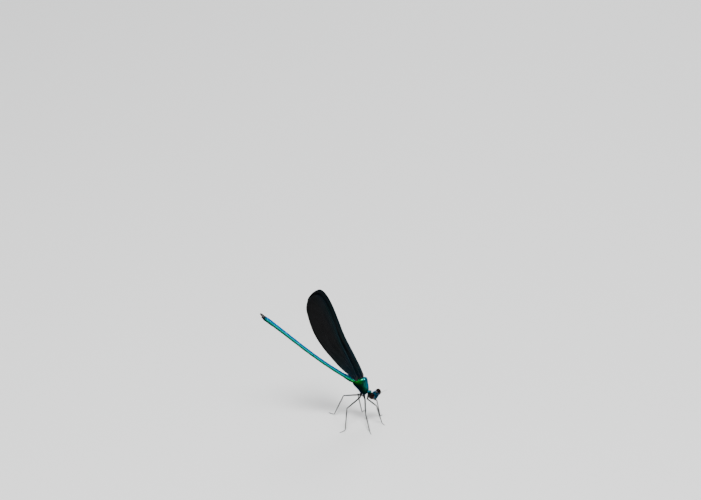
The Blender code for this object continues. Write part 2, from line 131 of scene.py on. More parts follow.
# Prothorax and neck: distance forward, radius across, radius up, and centre height
PROTHORAX = (
    (5.7, 0.5, 0.5, -0.7), (6.02, 0.56, 0.54, -0.6), (6.2, 0.6, 0.58, -0.5),
    (6.34, 0.82, 0.8, -0.46), (6.44, 0.88, 0.84, -0.46), (6.54, 0.84, 0.79, -0.46),
    (6.62, 0.78, 0.73, -0.46), (6.76, 0.86, 0.82, -0.46), (6.9, 0.82, 0.78, -0.46),
    (6.98, 0.66, 0.62, -0.46), (7.1, 0.44, 0.44, -0.44), (7.45, 0.36, 0.38, -0.4),
    (8.2, 0.34, 0.36, -0.32),
)
PROTHORAX_ROWS = 48
FURROW_END = 7.0
PRONOTUM_START = 6.25
PRONOTUM_GROOVE = 6.62
PRONOTUM_HEIGHT = -0.46
NECK_START = 7.02

HEAD_CENTRE = (8.36, 0.0, 0.13)
HEAD_TURN = radians(-31)
HEAD_TILT = radians(7)
HEAD = (
    Matrix.Translation(BODY @ Vector(HEAD_CENTRE))
    @ Matrix.Rotation(HEAD_TURN, 4, "Z")
    @ Matrix.Rotation(HEAD_TILT, 4, "Y")
)
EYE_CENTRE = (0.02, 1.86, 0.1)
EYE_RADII = (0.98, 0.84, 1.16)
# Ellipsoids of the head: centre, radii, and points around and along
CROWN = ((-0.14, 0, 0.28), (0.8, 1.52, 0.7))
FRONT = ((0.3, 0, 0.04), (0.78, 1.0, 0.9))
HEAD_FORMS = (
    (*CROWN, 48, 25),
    (*FRONT, 48, 25),
    ((-0.45, 0, -0.1), (0.52, 1.3, 0.8), 40, 21),
    ((0.9, 0, -0.2), (0.48, 0.72, 0.33), 40, 21),
    ((0.8, 0, -0.52), (0.42, 0.58, 0.2), 36, 17),
    ((0.26, 0.68, -0.6), (0.48, 0.4, 0.56), 32, 17),
    ((0.26, -0.68, -0.6), (0.48, 0.4, 0.56), 32, 17),
    ((0.22, 0, 0.74), (0.4, 0.46, 0.26), 32, 17),
)
HEAD_VOXEL = 0.032
# Stations on the left side of the head: forward, aside, up, and radius
SOCKET = ((0.95, 0.52, 0.36, 0.2), (1.08, 0.6, 0.46, 0.19), (1.16, 0.64, 0.52, 0.14))
MANDIBLE = (
    (0.42, 0.62, -0.9, 0.22), (0.62, 0.5, -1.08, 0.19), (0.78, 0.28, -1.19, 0.13),
    (0.84, 0.08, -1.23, 0.05),
)
PALP = (
    (0.34, 0.36, -1.36, 0.18), (0.58, 0.3, -1.4, 0.16), (0.74, 0.16, -1.38, 0.1),
    (0.78, 0.06, -1.33, 0.03),
)
THROAT = ((-0.35, 0, -0.92, 0.4), (0.0, 0, -1.22, 0.4))
# Upper lip: its back, and the height and half width of its upper edge
LIP_BACK = 0.1
LIP_TOP = -0.66
LIP_HALF = 0.6
OCELLI = (((0.56, 0, 0.86), 0.13), ((0.22, 0.27, 0.96), 0.11), ((0.22, -0.27, 0.96), 0.11))
# Antenna: where it starts, its way, how much it bends up, and its radius along its joints
ANTENNA_START = (1.1, 0.6, 0.48)
ANTENNA_WAY = (0.62, 0.62, 0.4)
ANTENNA_BEND = 0.035
ANTENNA_JOINTS = (
    (0.0, 0.15), (0.12, 0.16), (0.26, 0.14), (0.28, 0.09), (0.34, 0.1), (0.78, 0.085),
    (0.8, 0.05), (0.86, 0.052), (1.35, 0.042), (1.37, 0.032), (1.9, 0.03), (1.92, 0.024),
    (2.5, 0.02), (2.98, 0.01),
)

WINGS = {
    "wing_fore": {
        "hinge": (1.56, 3.28),
        "rise": radians(29.4),
        "length": 33.2,
        "chord": 8.8,
        "root_chord": 1.7,
        "root_y": 0.5,
        "blade_y": 0.44,
    },
    "wing_hind": {
        "hinge": (0.42, 1.7),
        "rise": radians(31.0),
        "length": 32.2,
        "chord": 8.5,
        "root_chord": 1.15,
        "root_y": 1.3,
        "blade_y": 1.32,
    },
}
# Blade's edges by share of its length: leading edge in millimetres behind the hinge's line, and
# trailing edge as a share of the chord. The tip is rounded about WING_TIP
WING_LEAD = (
    (0.0, 0.12), (0.07, -0.02), (0.14, -0.06), (0.34, 0.05), (0.46, 0.12), (0.6, -0.24),
    (0.74, -0.62), (0.84, -0.7), (0.92, -0.72), (1.0, -0.72),
)
WING_TRAIL = (
    (0.0, 0.085), (0.06, 0.24), (0.17, 0.44), (0.3, 0.6), (0.45, 0.75), (0.6, 0.83),
    (0.72, 0.815), (0.84, 0.765), (0.92, 0.745), (1.0, 0.735),
)
WING_TIP = 1.25
WING_ROUND_START = 0.8
WING_ROUND_POWER = 2.4
WING_SETTLE = 3.5
VEIN_ENDS = (1.0, 0.9995, 0.985, 0.93, 0.82, 0.68, 0.52, 0.34, 0.1)
# Where each main vein leaves the one before it, and its radius
VEIN_STARTS = (0.0, 0.0, 0.095, 0.095, 0.0, 0.125, 0.165, 0.05, 0.0)
VEIN_RADII = (0.062, 0.056, 0.038, 0.038, 0.044, 0.036, 0.034, 0.034, 0.042)
VEIN_BEND = 1.65
HEEL_BEND = 1.0
NODUS = 0.45
# The film: half its thickness, its rows from front to back, and the steps along a row
FILM_HALF = 0.015
FILM_ROWS = 96
FILM_STEPS = 60
PLEAT = 0.085
CELL_ACROSS = 0.56
CELL_ALONG = 0.34
# A strip between two veins is split at most this often, and not this near to its vein's end
SPLITS = 7
SPLIT_END = 0.04
SECTOR_RADIUS = 0.036
CROSS_RADIUS = 0.029
MARGIN_RADIUS = 0.035
# Long veins stop at this share of the length
MARGIN = 0.9995
# Pads of the hinge: place among the veins, distance before the blade, and radii
HINGE_PADS = ((0.12, 0.1, (0.2, 0.17, 0.24)), (0.62, 0.12, (0.24, 0.15, 0.3)))
# Thick vein stems from the hinge: place among the veins, and thickness
VEIN_STEMS = ((0.02, 0.11), (0.13, 0.12), (0.5, 0.1), (0.95, 0.08))
# Material numbers on a wing
FILM, VEINS, HINGE = 0, 1, 2

# Legs: coxa and hip in the body frame, then knee, ankle and claw from below the body's origin
LEGS = {
    "leg_hind_right": (
        (4.72, -0.62, -2.66), (5.0, -1.05, -3.42), (-1.86, -5.85, 7.2), (-2.3, -7.8), (-4.0, -9.4),
    ),
    "leg_middle_right": (
        (5.95, -0.6, -2.42), (6.72, -0.95, -2.95), (3.95, -2.72, 3.91), (5.6, -7.9), (6.2, -9.8),
    ),
    "leg_fore_right": (
        (6.98, -0.5, -1.56), (7.22, -0.86, -2.36), (7.5, -1.95, 6.46), (9.2, -1.6), (10.2, -3.0),
    ),
    "leg_hind_left": (
        (4.72, 0.62, -2.66), (5.0, 1.05, -3.42), (-3.63, 3.14, 7.32), (-6.7, 3.5), (-8.6, 4.8),
    ),
    "leg_middle_left": (
        (5.95, 0.6, -2.42), (6.4, 1.05, -3.05), (0.9, 5.0, 7.2), (2.3, 5.6), (2.9, 7.4),
    ),
    "leg_fore_left": (
        (6.98, 0.5, -1.56), (7.22, 0.86, -2.36), (7.3, 2.2, 6.5), (8.35, 3.2), (8.9, 4.6),
    ),
}
ANKLE_HEIGHT = 0.34
CLAW_HEIGHT = 0.1
COXA_INSET = 0.62
COXA_SWELL = ((0.0, 0.36), (0.25, 0.4), (0.5, 0.37), (0.7, 0.32), (0.86, 0.25))
# Trochanter: shares of the way from coxa to hip, then from hip to knee, and radii
TROCHANTER = ((0.62, 0.8, 0.94), (0.01, 0.035, 0.06, 0.075))
TROCHANTER_RADII = (0.22, 0.27, 0.27, 0.26, 0.27, 0.26, 0.2)
FEMUR_RADII = (0.235, 0.18)
TIBIA_RADII = (0.165, 0.115)
KNEE_ROUND = 0.25
ANKLE_INSET = 0.05
LEG_STEP = 0.3
# Tarsus: share of the way from ankle to claw, and height above the floor
TARSUS = ((0.0, ANKLE_HEIGHT), (0.24, 0.2), (0.55, 0.13), (0.86, 0.12))
TARSAL_JOINT = ((0.0, 0.085), (0.12, 0.105), (0.8, 0.09), (0.95, 0.1), (1.04, 0.06))
# Each claw of a pair: share forward, distance aside, height above the last joint, and radius
CLAW = ((0.06, 0.09, 0.05, 0.045), (0.11, 0.13, 0.0, 0.032), (0.125, 0.14, -0.085, 0.01))
# Spines of femur and tibia: length, number in a row, and the limb's radius
SPINES = ((0.62, 13, 0.2), (0.95, 17, 0.13))
BRISTLE_SEED = 11
COAT_SEED = 5
THORAX_HAIRS = 620
HAIR_REAR = 1.0
HAIR_FRONT = 5.85
HEAD_HAIRS = 190
HAIR_TILTS = (0.15, 1.9)
# Head hairs start outside these radii about an eye
EYE_CLEAR = (1.1, 0.95, 1.3)

# Bake maps: the edge left free, and what half a map and a whole one measure inside it
MAP_EDGE = 0.02
MAP_HALF = 0.46
MAP_FULL = 0.94
# What a wing's map covers behind the hinge and along the blade, and how far before the hinge
WING_MAP = (11.0, 36.0)
WING_MAP_START = 1.2
PATCH = 0.0015

# Camera: degrees round and up, millimetres right and up from the abdomen's base to the middle of
# the frame, distance from there in millimetres, and scale there
VIEW_TURN = 4.0
VIEW_HEIGHT = 23.4
VIEW_SHIFT = (-1.13, 42.07)
VIEW_DISTANCE = 944.9
FRAME_WIDTH = 701
PIXELS_PER_MM = 3.09
SENSOR = 36.0

# Room, in metres: floor, its light, and each lamp's name, place, size and power
FLOOR_HALF = 6
ROOM_COLOUR = (0.92, 0.95, 1.0, 1.0)
ROOM_LIGHT = 0.4
LAMP_AIM = (0, 0, 0.02)
LAMPS = (
    ("key", (0.12, -0.35, 0.85), 0.35, 13.0),
    ("fill", (-0.6, -0.6, 0.4), 0.6, 3.0),
    ("back", (0.1, 0.7, 0.6), 0.5, 4.0),
)

# Colours by place on a ramp: place, red, green and blue. On the body the ramps run from the
# underside to the top, and on the eye from low to high.
# The abdomen's own azure and green with painted light: the black beneath is partly painted shade, and the
# brightest azure along the top is painted reflection of light from above.
ABDOMEN_COLOURS_WITH_PAINTED_LIGHT = (
    (0.0, 0.002, 0.003, 0.003), (0.36, 0.001, 0.006, 0.004), (0.5, 0.0, 0.11, 0.04),
    (0.62, 0.0, 0.34, 0.19), (0.74, 0.0, 0.46, 0.56), (0.84, 0.0, 0.42, 0.95),
    (1.0, 0.0, 0.34, 1.0),
)
# The green base with the same painted light: black beneath partly painted shade, bright top painted
# reflection.
BASE_COLOURS_WITH_PAINTED_LIGHT = (
    (0.0, 0.002, 0.003, 0.003), (0.38, 0.002, 0.006, 0.003), (0.5, 0.004, 0.1, 0.01),
    (0.66, 0.006, 0.42, 0.06), (0.82, 0.0, 0.42, 0.22), (1.0, 0.0, 0.33, 0.52),
)
# Thorax: its green-teal darkened on the flanks and beneath as painted shade of the wings, with a painted
# teal highlight along the top.
THORAX_COLOURS_WITH_PAINTED_LIGHT = (
    (0.0, 0.0003, 0.002, 0.002), (0.34, 0.0003, 0.004, 0.003), (0.52, 0.0004, 0.007, 0.004),
    (0.7, 0.0007, 0.03, 0.014), (0.86, 0.001, 0.085, 0.062), (1.0, 0.001, 0.08, 0.13),
)
# Rear of the thorax: dark beneath as painted shade, with a bright green band on the upper flank that is a
# painted highlight.
THORAX_REAR_COLOURS_WITH_PAINTED_LIGHT = (
    (0.3, 0.0003, 0.003, 0.002), (0.52, 0.001, 0.03, 0.003), (0.72, 0.006, 0.17, 0.012),
    (1.0, 0.001, 0.07, 0.06),
)
FACE_COLOURS = ((0.3, 0.0004, 0.011, 0.016), (0.5, 0.0008, 0.036, 0.07), (0.68, 0.001, 0.105, 0.175))
EYE_COLOURS = ((0.1, 0.02, 0.002, 0.0012), (0.45, 0.008, 0.0012, 0.0009), (0.75, 0.0015, 0.0008, 0.0008))

# The animal's sides: the way along Y, and the word in the names of pieces
SIDES = ((1, "left"), (-1, "right"))


# Curves and shapes


def clamp(value, low=0.0, high=1.0):
    return max(low, min(high, value))


def shares(count):
    """Even shares from 0 to 1 in so many steps."""
    return [k / count for k in range(count + 1)]


def turns(count, offset=0.0):
    """Even turns round a full circle."""
    return [tau * (j + offset) / count for j in range(count)]


def smooth_curve(knots, x):
    """Catmull-Rom value at x through (x, value) knots."""
    xs = [k[0] for k in knots]
    ys = [k[1] for k in knots]
    if x <= xs[0]:
        return ys[0]
    if x >= xs[-1]:
        return ys[-1]
    i = max(j for j in range(len(xs) - 1) if xs[j] <= x)
    slopes = []
    for j in (i, i + 1):
        before, after = max(j - 1, 0), min(j + 1, len(ys) - 1)
        slopes.append((ys[after] - ys[before]) / (xs[after] - xs[before]))
    span = xs[i + 1] - xs[i]
    t = (x - xs[i]) / span
    return (
        ys[i] * (2 * t**3 - 3 * t**2 + 1)
        + slopes[0] * span * (t**3 - 2 * t**2 + t)
        + ys[i + 1] * (3 * t**2 - 2 * t**3)
        + slopes[1] * span * (t**3 - t**2)
    )


def bell(x, width):
    return exp(-((x / width) ** 2))


def bells(values, width):
    """The bell of every value in an array."""
    return np.exp(-((values / width) ** 2))


def off_top(turn):
    """How far a turn lies from the top, by the shorter way round."""
    return min(turn, tau - turn)


def loft(rings):
    """Points and faces of a closed body through rings of equal count, with fan caps at both ends."""
    count = len(rings[0])
    points = [tuple(p) for ring in rings for p in ring]
    faces = []
    for i in range(len(rings) - 1):
        for j in range(count):
            k = (j + 1) % count
            faces.append((i * count + j, i * count + k, (i + 1) * count + k, (i + 1) * count + j))
    for first, ring in ((0, rings[0]), ((len(rings) - 1) * count, rings[-1])):
        points.append(tuple(np.mean(np.array(ring), axis=0)))
        centre = len(points) - 1
        faces += [(first + j, first + (j + 1) % count, centre) for j in range(count)]
    return points, faces


def tube(stations, sides, flat=1.0):
    """A closed tube through (point, radius) stations, each ring square to the path."""
    points = [Vector(p) for p, _ in stations]
    rings = []
    up = None
    for i, (_, radius) in enumerate(stations):
        along = (points[min(i + 1, len(points) - 1)] - points[max(i - 1, 0)]).normalized()
        if up is None:
            up = Vector((0, 0, 1)) if abs(along.z) < 0.9 else Vector((1, 0, 0))
        up = (up - along * up.dot(along)).normalized()
        side = along.cross(up)
        rings.append([
            tuple(points[i] + radius * (flat * cos(a) * side + sin(a) * up))
            for a in turns(sides, 0.5)
        ])
    return loft(rings)


def ellipsoid(centre, radii, around, along):
    """A closed ellipsoid whose poles lie on its Z axis."""
    x, y, z = centre
    across, deep, high = radii
    rings = []
    for i in range(along):
        tilt = pi * (i + 0.5) / along
        rings.append([
            (
                x + across * sin(tilt) * cos(turn),
                y + deep * sin(tilt) * sin(turn),
                z + high * cos(tilt),
            )
            for turn in turns(around)
        ])
    points, faces = loft(rings)
    points[-2:] = [(x, y, z + high), (x, y, z - high)]
    return points, faces


class Bag:
    """Closed shapes gathered for one mesh, with named values on their points."""

    def __init__(self):
        self.points, self.faces, self.slots, self.values = [], [], [], {}

    def add(self, shape, slot=0, **values):
        points, faces = shape
        first = len(self.points)
        self.points += [tuple(p) for p in points]
        self.faces += [tuple(first + i for i in face) for face in faces]
        self.slots += [slot] * len(faces)
        for name, value in values.items():
            held = self.values.setdefault(name, [])
            held += [0.0] * (first - len(held))
            held += list(value) if hasattr(value, "__len__") else [value] * len(points)


def add_object(name, data):
    made = bpy.data.objects.new(name, data)
    bpy.context.scene.collection.objects.link(made)
    return made


def make_piece(name, bag, place, finishes, sharp=60):
    """A mesh object from a bag, with its place in its points and its faces turned outward."""
    mesh = bpy.data.meshes.new(name)
    mesh.from_pydata([tuple(c * MM for c in place @ Vector(p)) for p in bag.points], [], bag.faces)
    mesh.polygons.foreach_set("material_index", bag.slots)
    work = bmesh.new()
    work.from_mesh(mesh)
    bmesh.ops.recalc_face_normals(work, faces=work.faces)
    work.to_mesh(mesh)
    work.free()
    mesh.shade_smooth()
    mesh.set_sharp_from_angle(angle=radians(sharp))
    for held in bag.values.values():
        held += [0.0] * (len(bag.points) - len(held))
    set_values(mesh, bag.values)
    for finish in finishes:
        mesh.materials.append(finish)
    return add_object(name, mesh)


def set_values(mesh, values):
    """Named values on a mesh's points."""
    for name, held in values.items():
        mesh.attributes.new(name, "FLOAT", "POINT").data.foreach_set("value", held)


def dress(piece, slot, *nodes):
    """Puts a piece on the body root, in place of the nodes that it stands for; its slot is not used."""
    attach(piece, "root")
    if nodes:
        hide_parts(*nodes)


def add_piece(name, shapes, place, finish, slot, *nodes):
    """A piece of one material from closed shapes, in place of its nodes; its slot is not used."""
    bag = Bag()
    for shape in shapes:
        bag.add(shape)
    dress(make_piece(name, bag, place, [finish]), slot, *nodes)


def merged(name, shapes, voxel=None):
    """One closed surface from overlapping shapes: a Boolean union, then a remesh at a voxel size."""
    first = None
    others = bpy.data.collections.new(name + "_shapes")
    bpy.context.scene.collection.children.link(others)
    for i, shape in enumerate(shapes):
        bag = Bag()
        bag.add(shape)
        piece = make_piece(f"{name}_{i}" if i else name, bag, Matrix.Identity(4), [])
        piece.data.transform(Matrix.Scale(1 / MM, 4))
        if i:
            bpy.context.scene.collection.objects.unlink(piece)
            others.objects.link(piece)
        else:
            first = piece
    join = first.modifiers.new("join", "BOOLEAN")
    join.operation = "UNION"
    join.operand_type = "COLLECTION"
    join.collection = others
    join.solver = "MANIFOLD"
    if voxel:
        remesh = first.modifiers.new("remesh", "REMESH")
        remesh.mode = "VOXEL"
        remesh.voxel_size = voxel
        smooth = first.modifiers.new("smooth", "SMOOTH")
        smooth.factor = 0.5
        smooth.iterations = 6
    bpy.context.view_layer.update()
    mesh = bpy.data.meshes.new_from_object(first.evaluated_get(bpy.context.evaluated_depsgraph_get()))
    first.modifiers.clear()
    for piece in list(others.objects):
        bpy.data.objects.remove(piece)
    bpy.data.collections.remove(others)
    first.data = mesh
    return first


def vertex_places(mesh):
    places = np.empty(len(mesh.vertices) * 3)
    mesh.vertices.foreach_get("co", places)
    return places.reshape(-1, 3)


def settle(piece, values, place, finish):
    """Gives a merged surface its values, its place and its one material."""
    set_values(piece.data, values)
    piece.data.transform(Matrix.Scale(MM, 4) @ place)
    piece.data.shade_smooth()
    piece.data.materials.clear()
    piece.data.materials.append(finish)


# Materials


class Finish:
    """A Principled material with short calls for its nodes."""

    def __init__(self, name, roughness, metallic=0.0, coat=0.0, specular=0.5, tint=(1.0, 1.0, 1.0)):
        self.made = bpy.data.materials.new(name)
        self.made.use_nodes = True
        self.shader = self.made.node_tree.nodes["Principled BSDF"]
        self.feed("Roughness", roughness)
        self.feed("Metallic", metallic)
        self.feed("Coat Weight", coat)
        self.feed("Coat Roughness", 0.12)
        self.feed("Specular IOR Level", specular)
        self.feed("Specular Tint", tint)
        self.coordinates = self.node("TexCoord").outputs["Object"]

    def connect(self, socket, source):
        """Gives a socket a number, a colour or what another node puts out."""
        if isinstance(source, (int, float)):
            socket.default_value = source
        elif isinstance(source, tuple):
            socket.default_value = (*source, 1.0)
        else:
            self.made.node_tree.links.new(source, socket)

    def feed(self, setting, source):
        self.connect(self.shader.inputs[setting], source)

    def node(self, kind, **inputs):
        made = self.made.node_tree.nodes.new("ShaderNode" + kind)
        for name, source in inputs.items():
            self.connect(made.inputs[name], source)
        return made

    def value(self, name):
        node = self.node("Attribute")
        node.attribute_name = name
        return node.outputs["Fac"]

    def noise(self, scale, detail=3.0):
        return self.node("TexNoise", Vector=self.coordinates, Scale=scale, Detail=detail).outputs["Fac"]

    def cells(self, scale):
        return self.node("TexVoronoi", Vector=self.coordinates, Scale=scale).outputs["Distance"]

    def maths(self, operation, *inputs):
        """A sum on values or numbers, kept between 0 and 1 where it is a multiply-add."""
        node = self.node("Math")
        node.operation = operation
        node.use_clamp = operation == "MULTIPLY_ADD"
        for socket, source in zip(node.inputs, inputs):
            self.connect(socket, source)
        return node.outputs[0]

    def ramp(self, factor, *stops):
        """A colour ramp through (place, red, green, blue) stops."""
        node = self.node("ValToRGB", Fac=factor)
        elements = node.color_ramp.elements
        while len(elements) < len(stops):
            elements.new(0.5)
        for element, (place, *colour) in zip(elements, stops):
            element.position = place
            element.color = (*colour, 1.0)
        return node.outputs["Color"]

    def mix(self, factor, first, second):
        node = self.node("Mix")
        node.data_type = "RGBA"
        for number, source in ((0, factor), (6, first), (7, second)):
            self.connect(node.inputs[number], source)
        return node.outputs[2]

    def bump(self, height, distance, strength=0.5):
        node = self.node("Bump", Strength=strength, Distance=distance, Height=height)
        self.feed("Normal", node.outputs["Normal"])


def cuticle_finish():
    """Azure along the abdomen's top, green on its flanks, black beneath, and dark teal on the thorax; the
    bright top is painted reflection, the black beneath partly painted shade, and the dark thorax painted
    shade with painted highlights.
    """
    finish = Finish("metallic cuticle", 0.3, 1.0, tint=(0.1, 0.55, 0.8))
    mottle = finish.noise(900.0, 4.0)
    grain = finish.noise(9000.0, 2.0)
    uneven = finish.maths("MULTIPLY_ADD", mottle, 0.16, -0.08)
    turned = finish.maths("ADD", finish.value("dorsal"), uneven)
    share = finish.maths("MULTIPLY_ADD", turned, 0.5, 0.5)
    root = finish.value("root")
    # These ramps by facing up paint shade beneath and a reflection along the top.
    behind = finish.ramp(share, *ABDOMEN_COLOURS_WITH_PAINTED_LIGHT)
    abdomen = finish.mix(root, behind, finish.ramp(share, *BASE_COLOURS_WITH_PAINTED_LIGHT))
    # Noise patches push parts of the thorax up its ramp as painted highlight patches; the rear ramp adds the
    # painted green highlight.
    patch = finish.maths("MULTIPLY_ADD", finish.noise(420.0, 2.0), 0.6, -0.3)
    ahead = finish.ramp(finish.maths("ADD", share, patch), *THORAX_COLOURS_WITH_PAINTED_LIGHT)
    thorax = finish.mix(root, ahead, finish.ramp(share, *THORAX_REAR_COLOURS_WITH_PAINTED_LIGHT))
    both = finish.mix(finish.value("thorax"), abdomen, thorax)
    finish.feed("Base Color", finish.mix(finish.value("black"), both, (0.002, 0.0025, 0.003)))
    finish.feed("Roughness", finish.maths("MULTIPLY_ADD", grain, 0.22, 0.16))
    finish.bump(finish.maths("ADD", grain, mottle), 0.00001)
    return finish.made


def head_finish():
    """Metallic blue face with teal in it, black round the eyes and at the back of the head."""
    finish = Finish("metallic head cuticle", 0.3, 1.0, tint=(0.12, 0.55, 0.8))
    face = finish.ramp(finish.noise(1200.0, 3.0), *FACE_COLOURS)
    grain = finish.noise(12000.0, 2.0)
    finish.feed("Base Color", finish.mix(finish.value("black"), face, (0.002, 0.003, 0.004)))
    finish.feed("Roughness", finish.maths("MULTIPLY_ADD", grain, 0.25, 0.18))
    finish.bump(grain, 0.000008)
    return finish.made


def black_finish():
    """Black cuticle of the legs, mouthparts, tail and wing hinges."""
    finish = Finish("black cuticle", 0.36, specular=0.3)
    mottle = finish.noise(2500.0, 3.0)
    grain = finish.noise(16000.0, 2.0)
    finish.feed("Base Color", finish.ramp(mottle, (0.3, 0.0015, 0.0015, 0.002), (0.7, 0.005, 0.005, 0.006)))
    finish.feed("Roughness", finish.maths("MULTIPLY_ADD", grain, 0.25, 0.24))
    finish.bump(grain, 0.000006, 0.6)
    return finish.made


def eye_finish():
    """Dark red-brown, nearly black above, with the mesh of facets in the surface."""
    finish = Finish("compound eye", 0.18, specular=0.09, tint=(1.0, 0.62, 0.52))
    height = finish.maths("MULTIPLY_ADD", finish.value("height"), 0.5, 0.5)
    shade = finish.ramp(height, *EYE_COLOURS)
    facet = finish.cells(26000.0)
    rim = finish.maths("MULTIPLY_ADD", facet, 1.3, -0.3)
    finish.feed("Base Color", finish.mix(rim, shade, (0.002, 0.001, 0.001)))
    finish.bump(finish.maths("SUBTRACT", 1.0, facet), 0.000006)
    return finish.made


def ocellus_finish():
    """Small amber lenses."""
    finish = Finish("ocellus", 0.1, coat=0.5)
    shade = finish.noise(9000.0, 1.0)
    finish.feed("Base Color", finish.ramp(shade, (0.3, 0.1, 0.035, 0.01), (0.7, 0.2, 0.085, 0.025)))
    return finish.made


def membrane_finish():
    """Smoky black-brown film with a dark teal and blue sheen towards the base and leading edge."""
    finish = Finish("wing membrane", 0.4, specular=0.045)
    cloud = finish.noise(160.0, 4.0)
    crease = finish.noise(3000.0, 3.0)
    dark = finish.ramp(cloud, (0.3, 0.0008, 0.0008, 0.001), (0.7, 0.002, 0.0019, 0.002))
    sheen = finish.ramp(cloud, (0.35, 0.0006, 0.013, 0.013), (0.65, 0.0006, 0.01, 0.022))
    amount = finish.value("sheen")
    finish.feed("Base Color", finish.mix(amount, dark, sheen))
    finish.feed("Metallic", finish.maths("MULTIPLY", amount, 0.8))
    finish.feed("Roughness", finish.maths("MULTIPLY_ADD", crease, 0.25, 0.3))
    finish.bump(crease, 0.00002)
    return finish.made


def vein_finish():
    """Black veins with a little of the film's sheen near the base."""
    finish = Finish("wing veins", 0.3, specular=0.17)
    cloud = finish.noise(600.0, 3.0)
    dark = finish.ramp(cloud, (0.3, 0.0014, 0.0016, 0.0022), (0.7, 0.0036, 0.0044, 0.006))
    amount = finish.value("sheen")
    finish.feed("Base Color", finish.mix(amount, dark, (0.0006, 0.02, 0.03)))
    finish.feed("Metallic", finish.maths("MULTIPLY", amount, 0.45))
    finish.bump(finish.noise(9000.0), 0.000005)
    return finish.made


# Body skin


def abdomen_line():
    """Places and slopes along the abdomen's centreline at even steps."""
    x, z = ABDOMEN_START
    stride = ABDOMEN_LENGTH / LINE_STEPS
    line = [(x, z, radians(smooth_curve(ABDOMEN_SLOPE, 0.0)))]
    for k in range(LINE_STEPS):
        slope = radians(smooth_curve(ABDOMEN_SLOPE, (k + 0.5) / LINE_STEPS))
        x -= stride * cos(slope)
        z += stride * sin(slope)
        line.append((x, z, slope))
    return np.array(line)


LINE = abdomen_line()
LINE_ORDER = np.argsort(LINE[:, 0])
SEGMENT_EDGES = np.cumsum([0.0] + [s[0] for s in SEGMENTS])


def abdomen_place(distance):
    """A point of the abdomen's centreline and its slope, carried on straight past both ends."""
    at = np.clip(distance / ABDOMEN_LENGTH, 0, 1) * LINE_STEPS
    x, z, slope = (float(np.interp(at, range(len(LINE)), LINE[:, c])) for c in range(3))
    spare = distance - clamp(distance, 0, ABDOMEN_LENGTH)
    return Vector((x - spare * cos(slope), 0, z + spare * sin(slope))), slope


def abdomen_section(distance, radius):
    """A rounded section, narrower below, with the sternum's strip let in between two grooves."""
    place, slope = abdomen_place(distance)
    up = Vector((sin(slope), 0, cos(slope)))
    ring = []
    for turn in turns(BODY_SIDES):
        groove = 1.0
        for depth, at, width in GROOVES:
            groove -= depth * bell(degrees(off_top(turn)) - at, width)
        across = radius * groove * sin(turn) * (0.95 + 0.05 * cos(turn))
        rise = radius * groove * cos(turn) * 1.04
        ring.append(tuple(place + Vector((0, across, 0)) + up * rise))
    return ring


def abdomen_shape():
    """The abdomen's surface: each segment is let in at its front and has a collar before its end."""
    rings = [abdomen_section(-0.5, 0.55), abdomen_section(-0.2, 0.7)]
    for number, (length, front, rear) in enumerate(SEGMENTS):
        for share in SEGMENT_PROFILE:
            short = share * length
            left = length - short
            joint = 0.1 * bell(short, 0.07)
            collar = 0.035 * bell(left - 0.16, 0.1)
            radius = front + (rear - front) * share
            radius *= 1 - joint + collar - 0.05 * bell(left, 0.05)
            if number >= TAIL_FIRST:
                radius *= TAIL_SLIM
            rings.append(abdomen_section(SEGMENT_EDGES[number] + short, radius))
    rings.append(abdomen_section(ABDOMEN_LENGTH - 0.03, 0.58))
    rings.append(abdomen_section(ABDOMEN_LENGTH, 0.4))
    return loft(rings)


def seam_share(x, z):
    """Distance from the nearest side seam, and how far a point lies between two seams, 1 midway."""
    gaps = []
    for top, foot in SUTURES:
        line = Vector(foot) - Vector(top)
        share = clamp((Vector((x, z)) - Vector(top)).dot(line) / line.length_squared)
        bowed = Vector(top) + line * share + Vector((SEAM_BOW * sin(pi * share), 0))
        gaps.append((Vector((x, z)) - bowed).length)
    gaps.sort()
    return gaps[0], 1 - (gaps[1] - gaps[0]) / (gaps[1] + gaps[0])


def thorax_point(x, turn):
    """The surface at a distance forward and a turn from the top, with its seams, crest and plates."""
    top, under, half = (smooth_curve(curve, x) for curve in (THORAX_TOP, THORAX_UNDER, THORAX_HALF))
    middle = 0.45 * top + 0.55 * under
    rise = cos(turn)
    across = half * copysign(abs(sin(turn)) ** 0.82, sin(turn))
    if rise > 0:
        height = middle + (top - middle) * rise**0.85
        across *= 1 - 0.16 * rise**2
    else:
        height = middle + (middle - under) * -((-rise) ** 0.85)
        across *= 1 - 0.1 * rise**2
    keel = CARINA * bell(off_top(turn), 0.1) * clamp((x - CARINA_START) / 0.8)
    flank = min(1.0, abs(across) / 0.8) * clamp((5.9 - x) / 0.4)
    gap, between = seam_share(x, height)
    swell = 1 + flank * (0.03 * between - 0.06 * bell(gap, SEAM_WIDTH))
    crest = 0.09 * bell(x - CREST, 0.08) - 0.07 * bell(x - CREST_HOLLOW, 0.08)
    plates = sum(0.06 * bell(x - edge, 0.06) for edge in PLATE_EDGES)
    return x, across * swell, height + keel + (crest - plates) * bell(off_top(turn), 0.75)


def thorax_shape():
    """The thorax's surface, with closer stations towards both ends."""
    rings = []
    for share in shares(THORAX_STATIONS - 1):
        eased = 0.5 - 0.5 * cos(pi * share)
        x = THORAX_REAR + THORAX_LENGTH * (0.5 * share + 0.5 * eased)
        rings.append([thorax_point(x, turn) for turn in turns(THORAX_SIDES)])
    return loft(rings)


def prothorax_shape():
    """Pronotum with a furrow along its top, and the neck."""
    first, last = PROTHORAX[0][0], PROTHORAX[-1][0]
    rings = []
    for i in range(PROTHORAX_ROWS + 1):
        x = first + (last - first) * i / PROTHORAX_ROWS
        across, up, middle = (smooth_curve([(p[0], p[c]) for p in PROTHORAX], x) for c in (1, 2, 3))
        ring = []
        for turn in turns(BODY_SIDES):
            furrow = 1 - 0.05 * bell(off_top(turn), 0.16) * (x < FURROW_END)
            ring.append((x, across * furrow * sin(turn), middle + up * furrow * cos(turn)))
        rings.append(ring)
    return loft(rings)


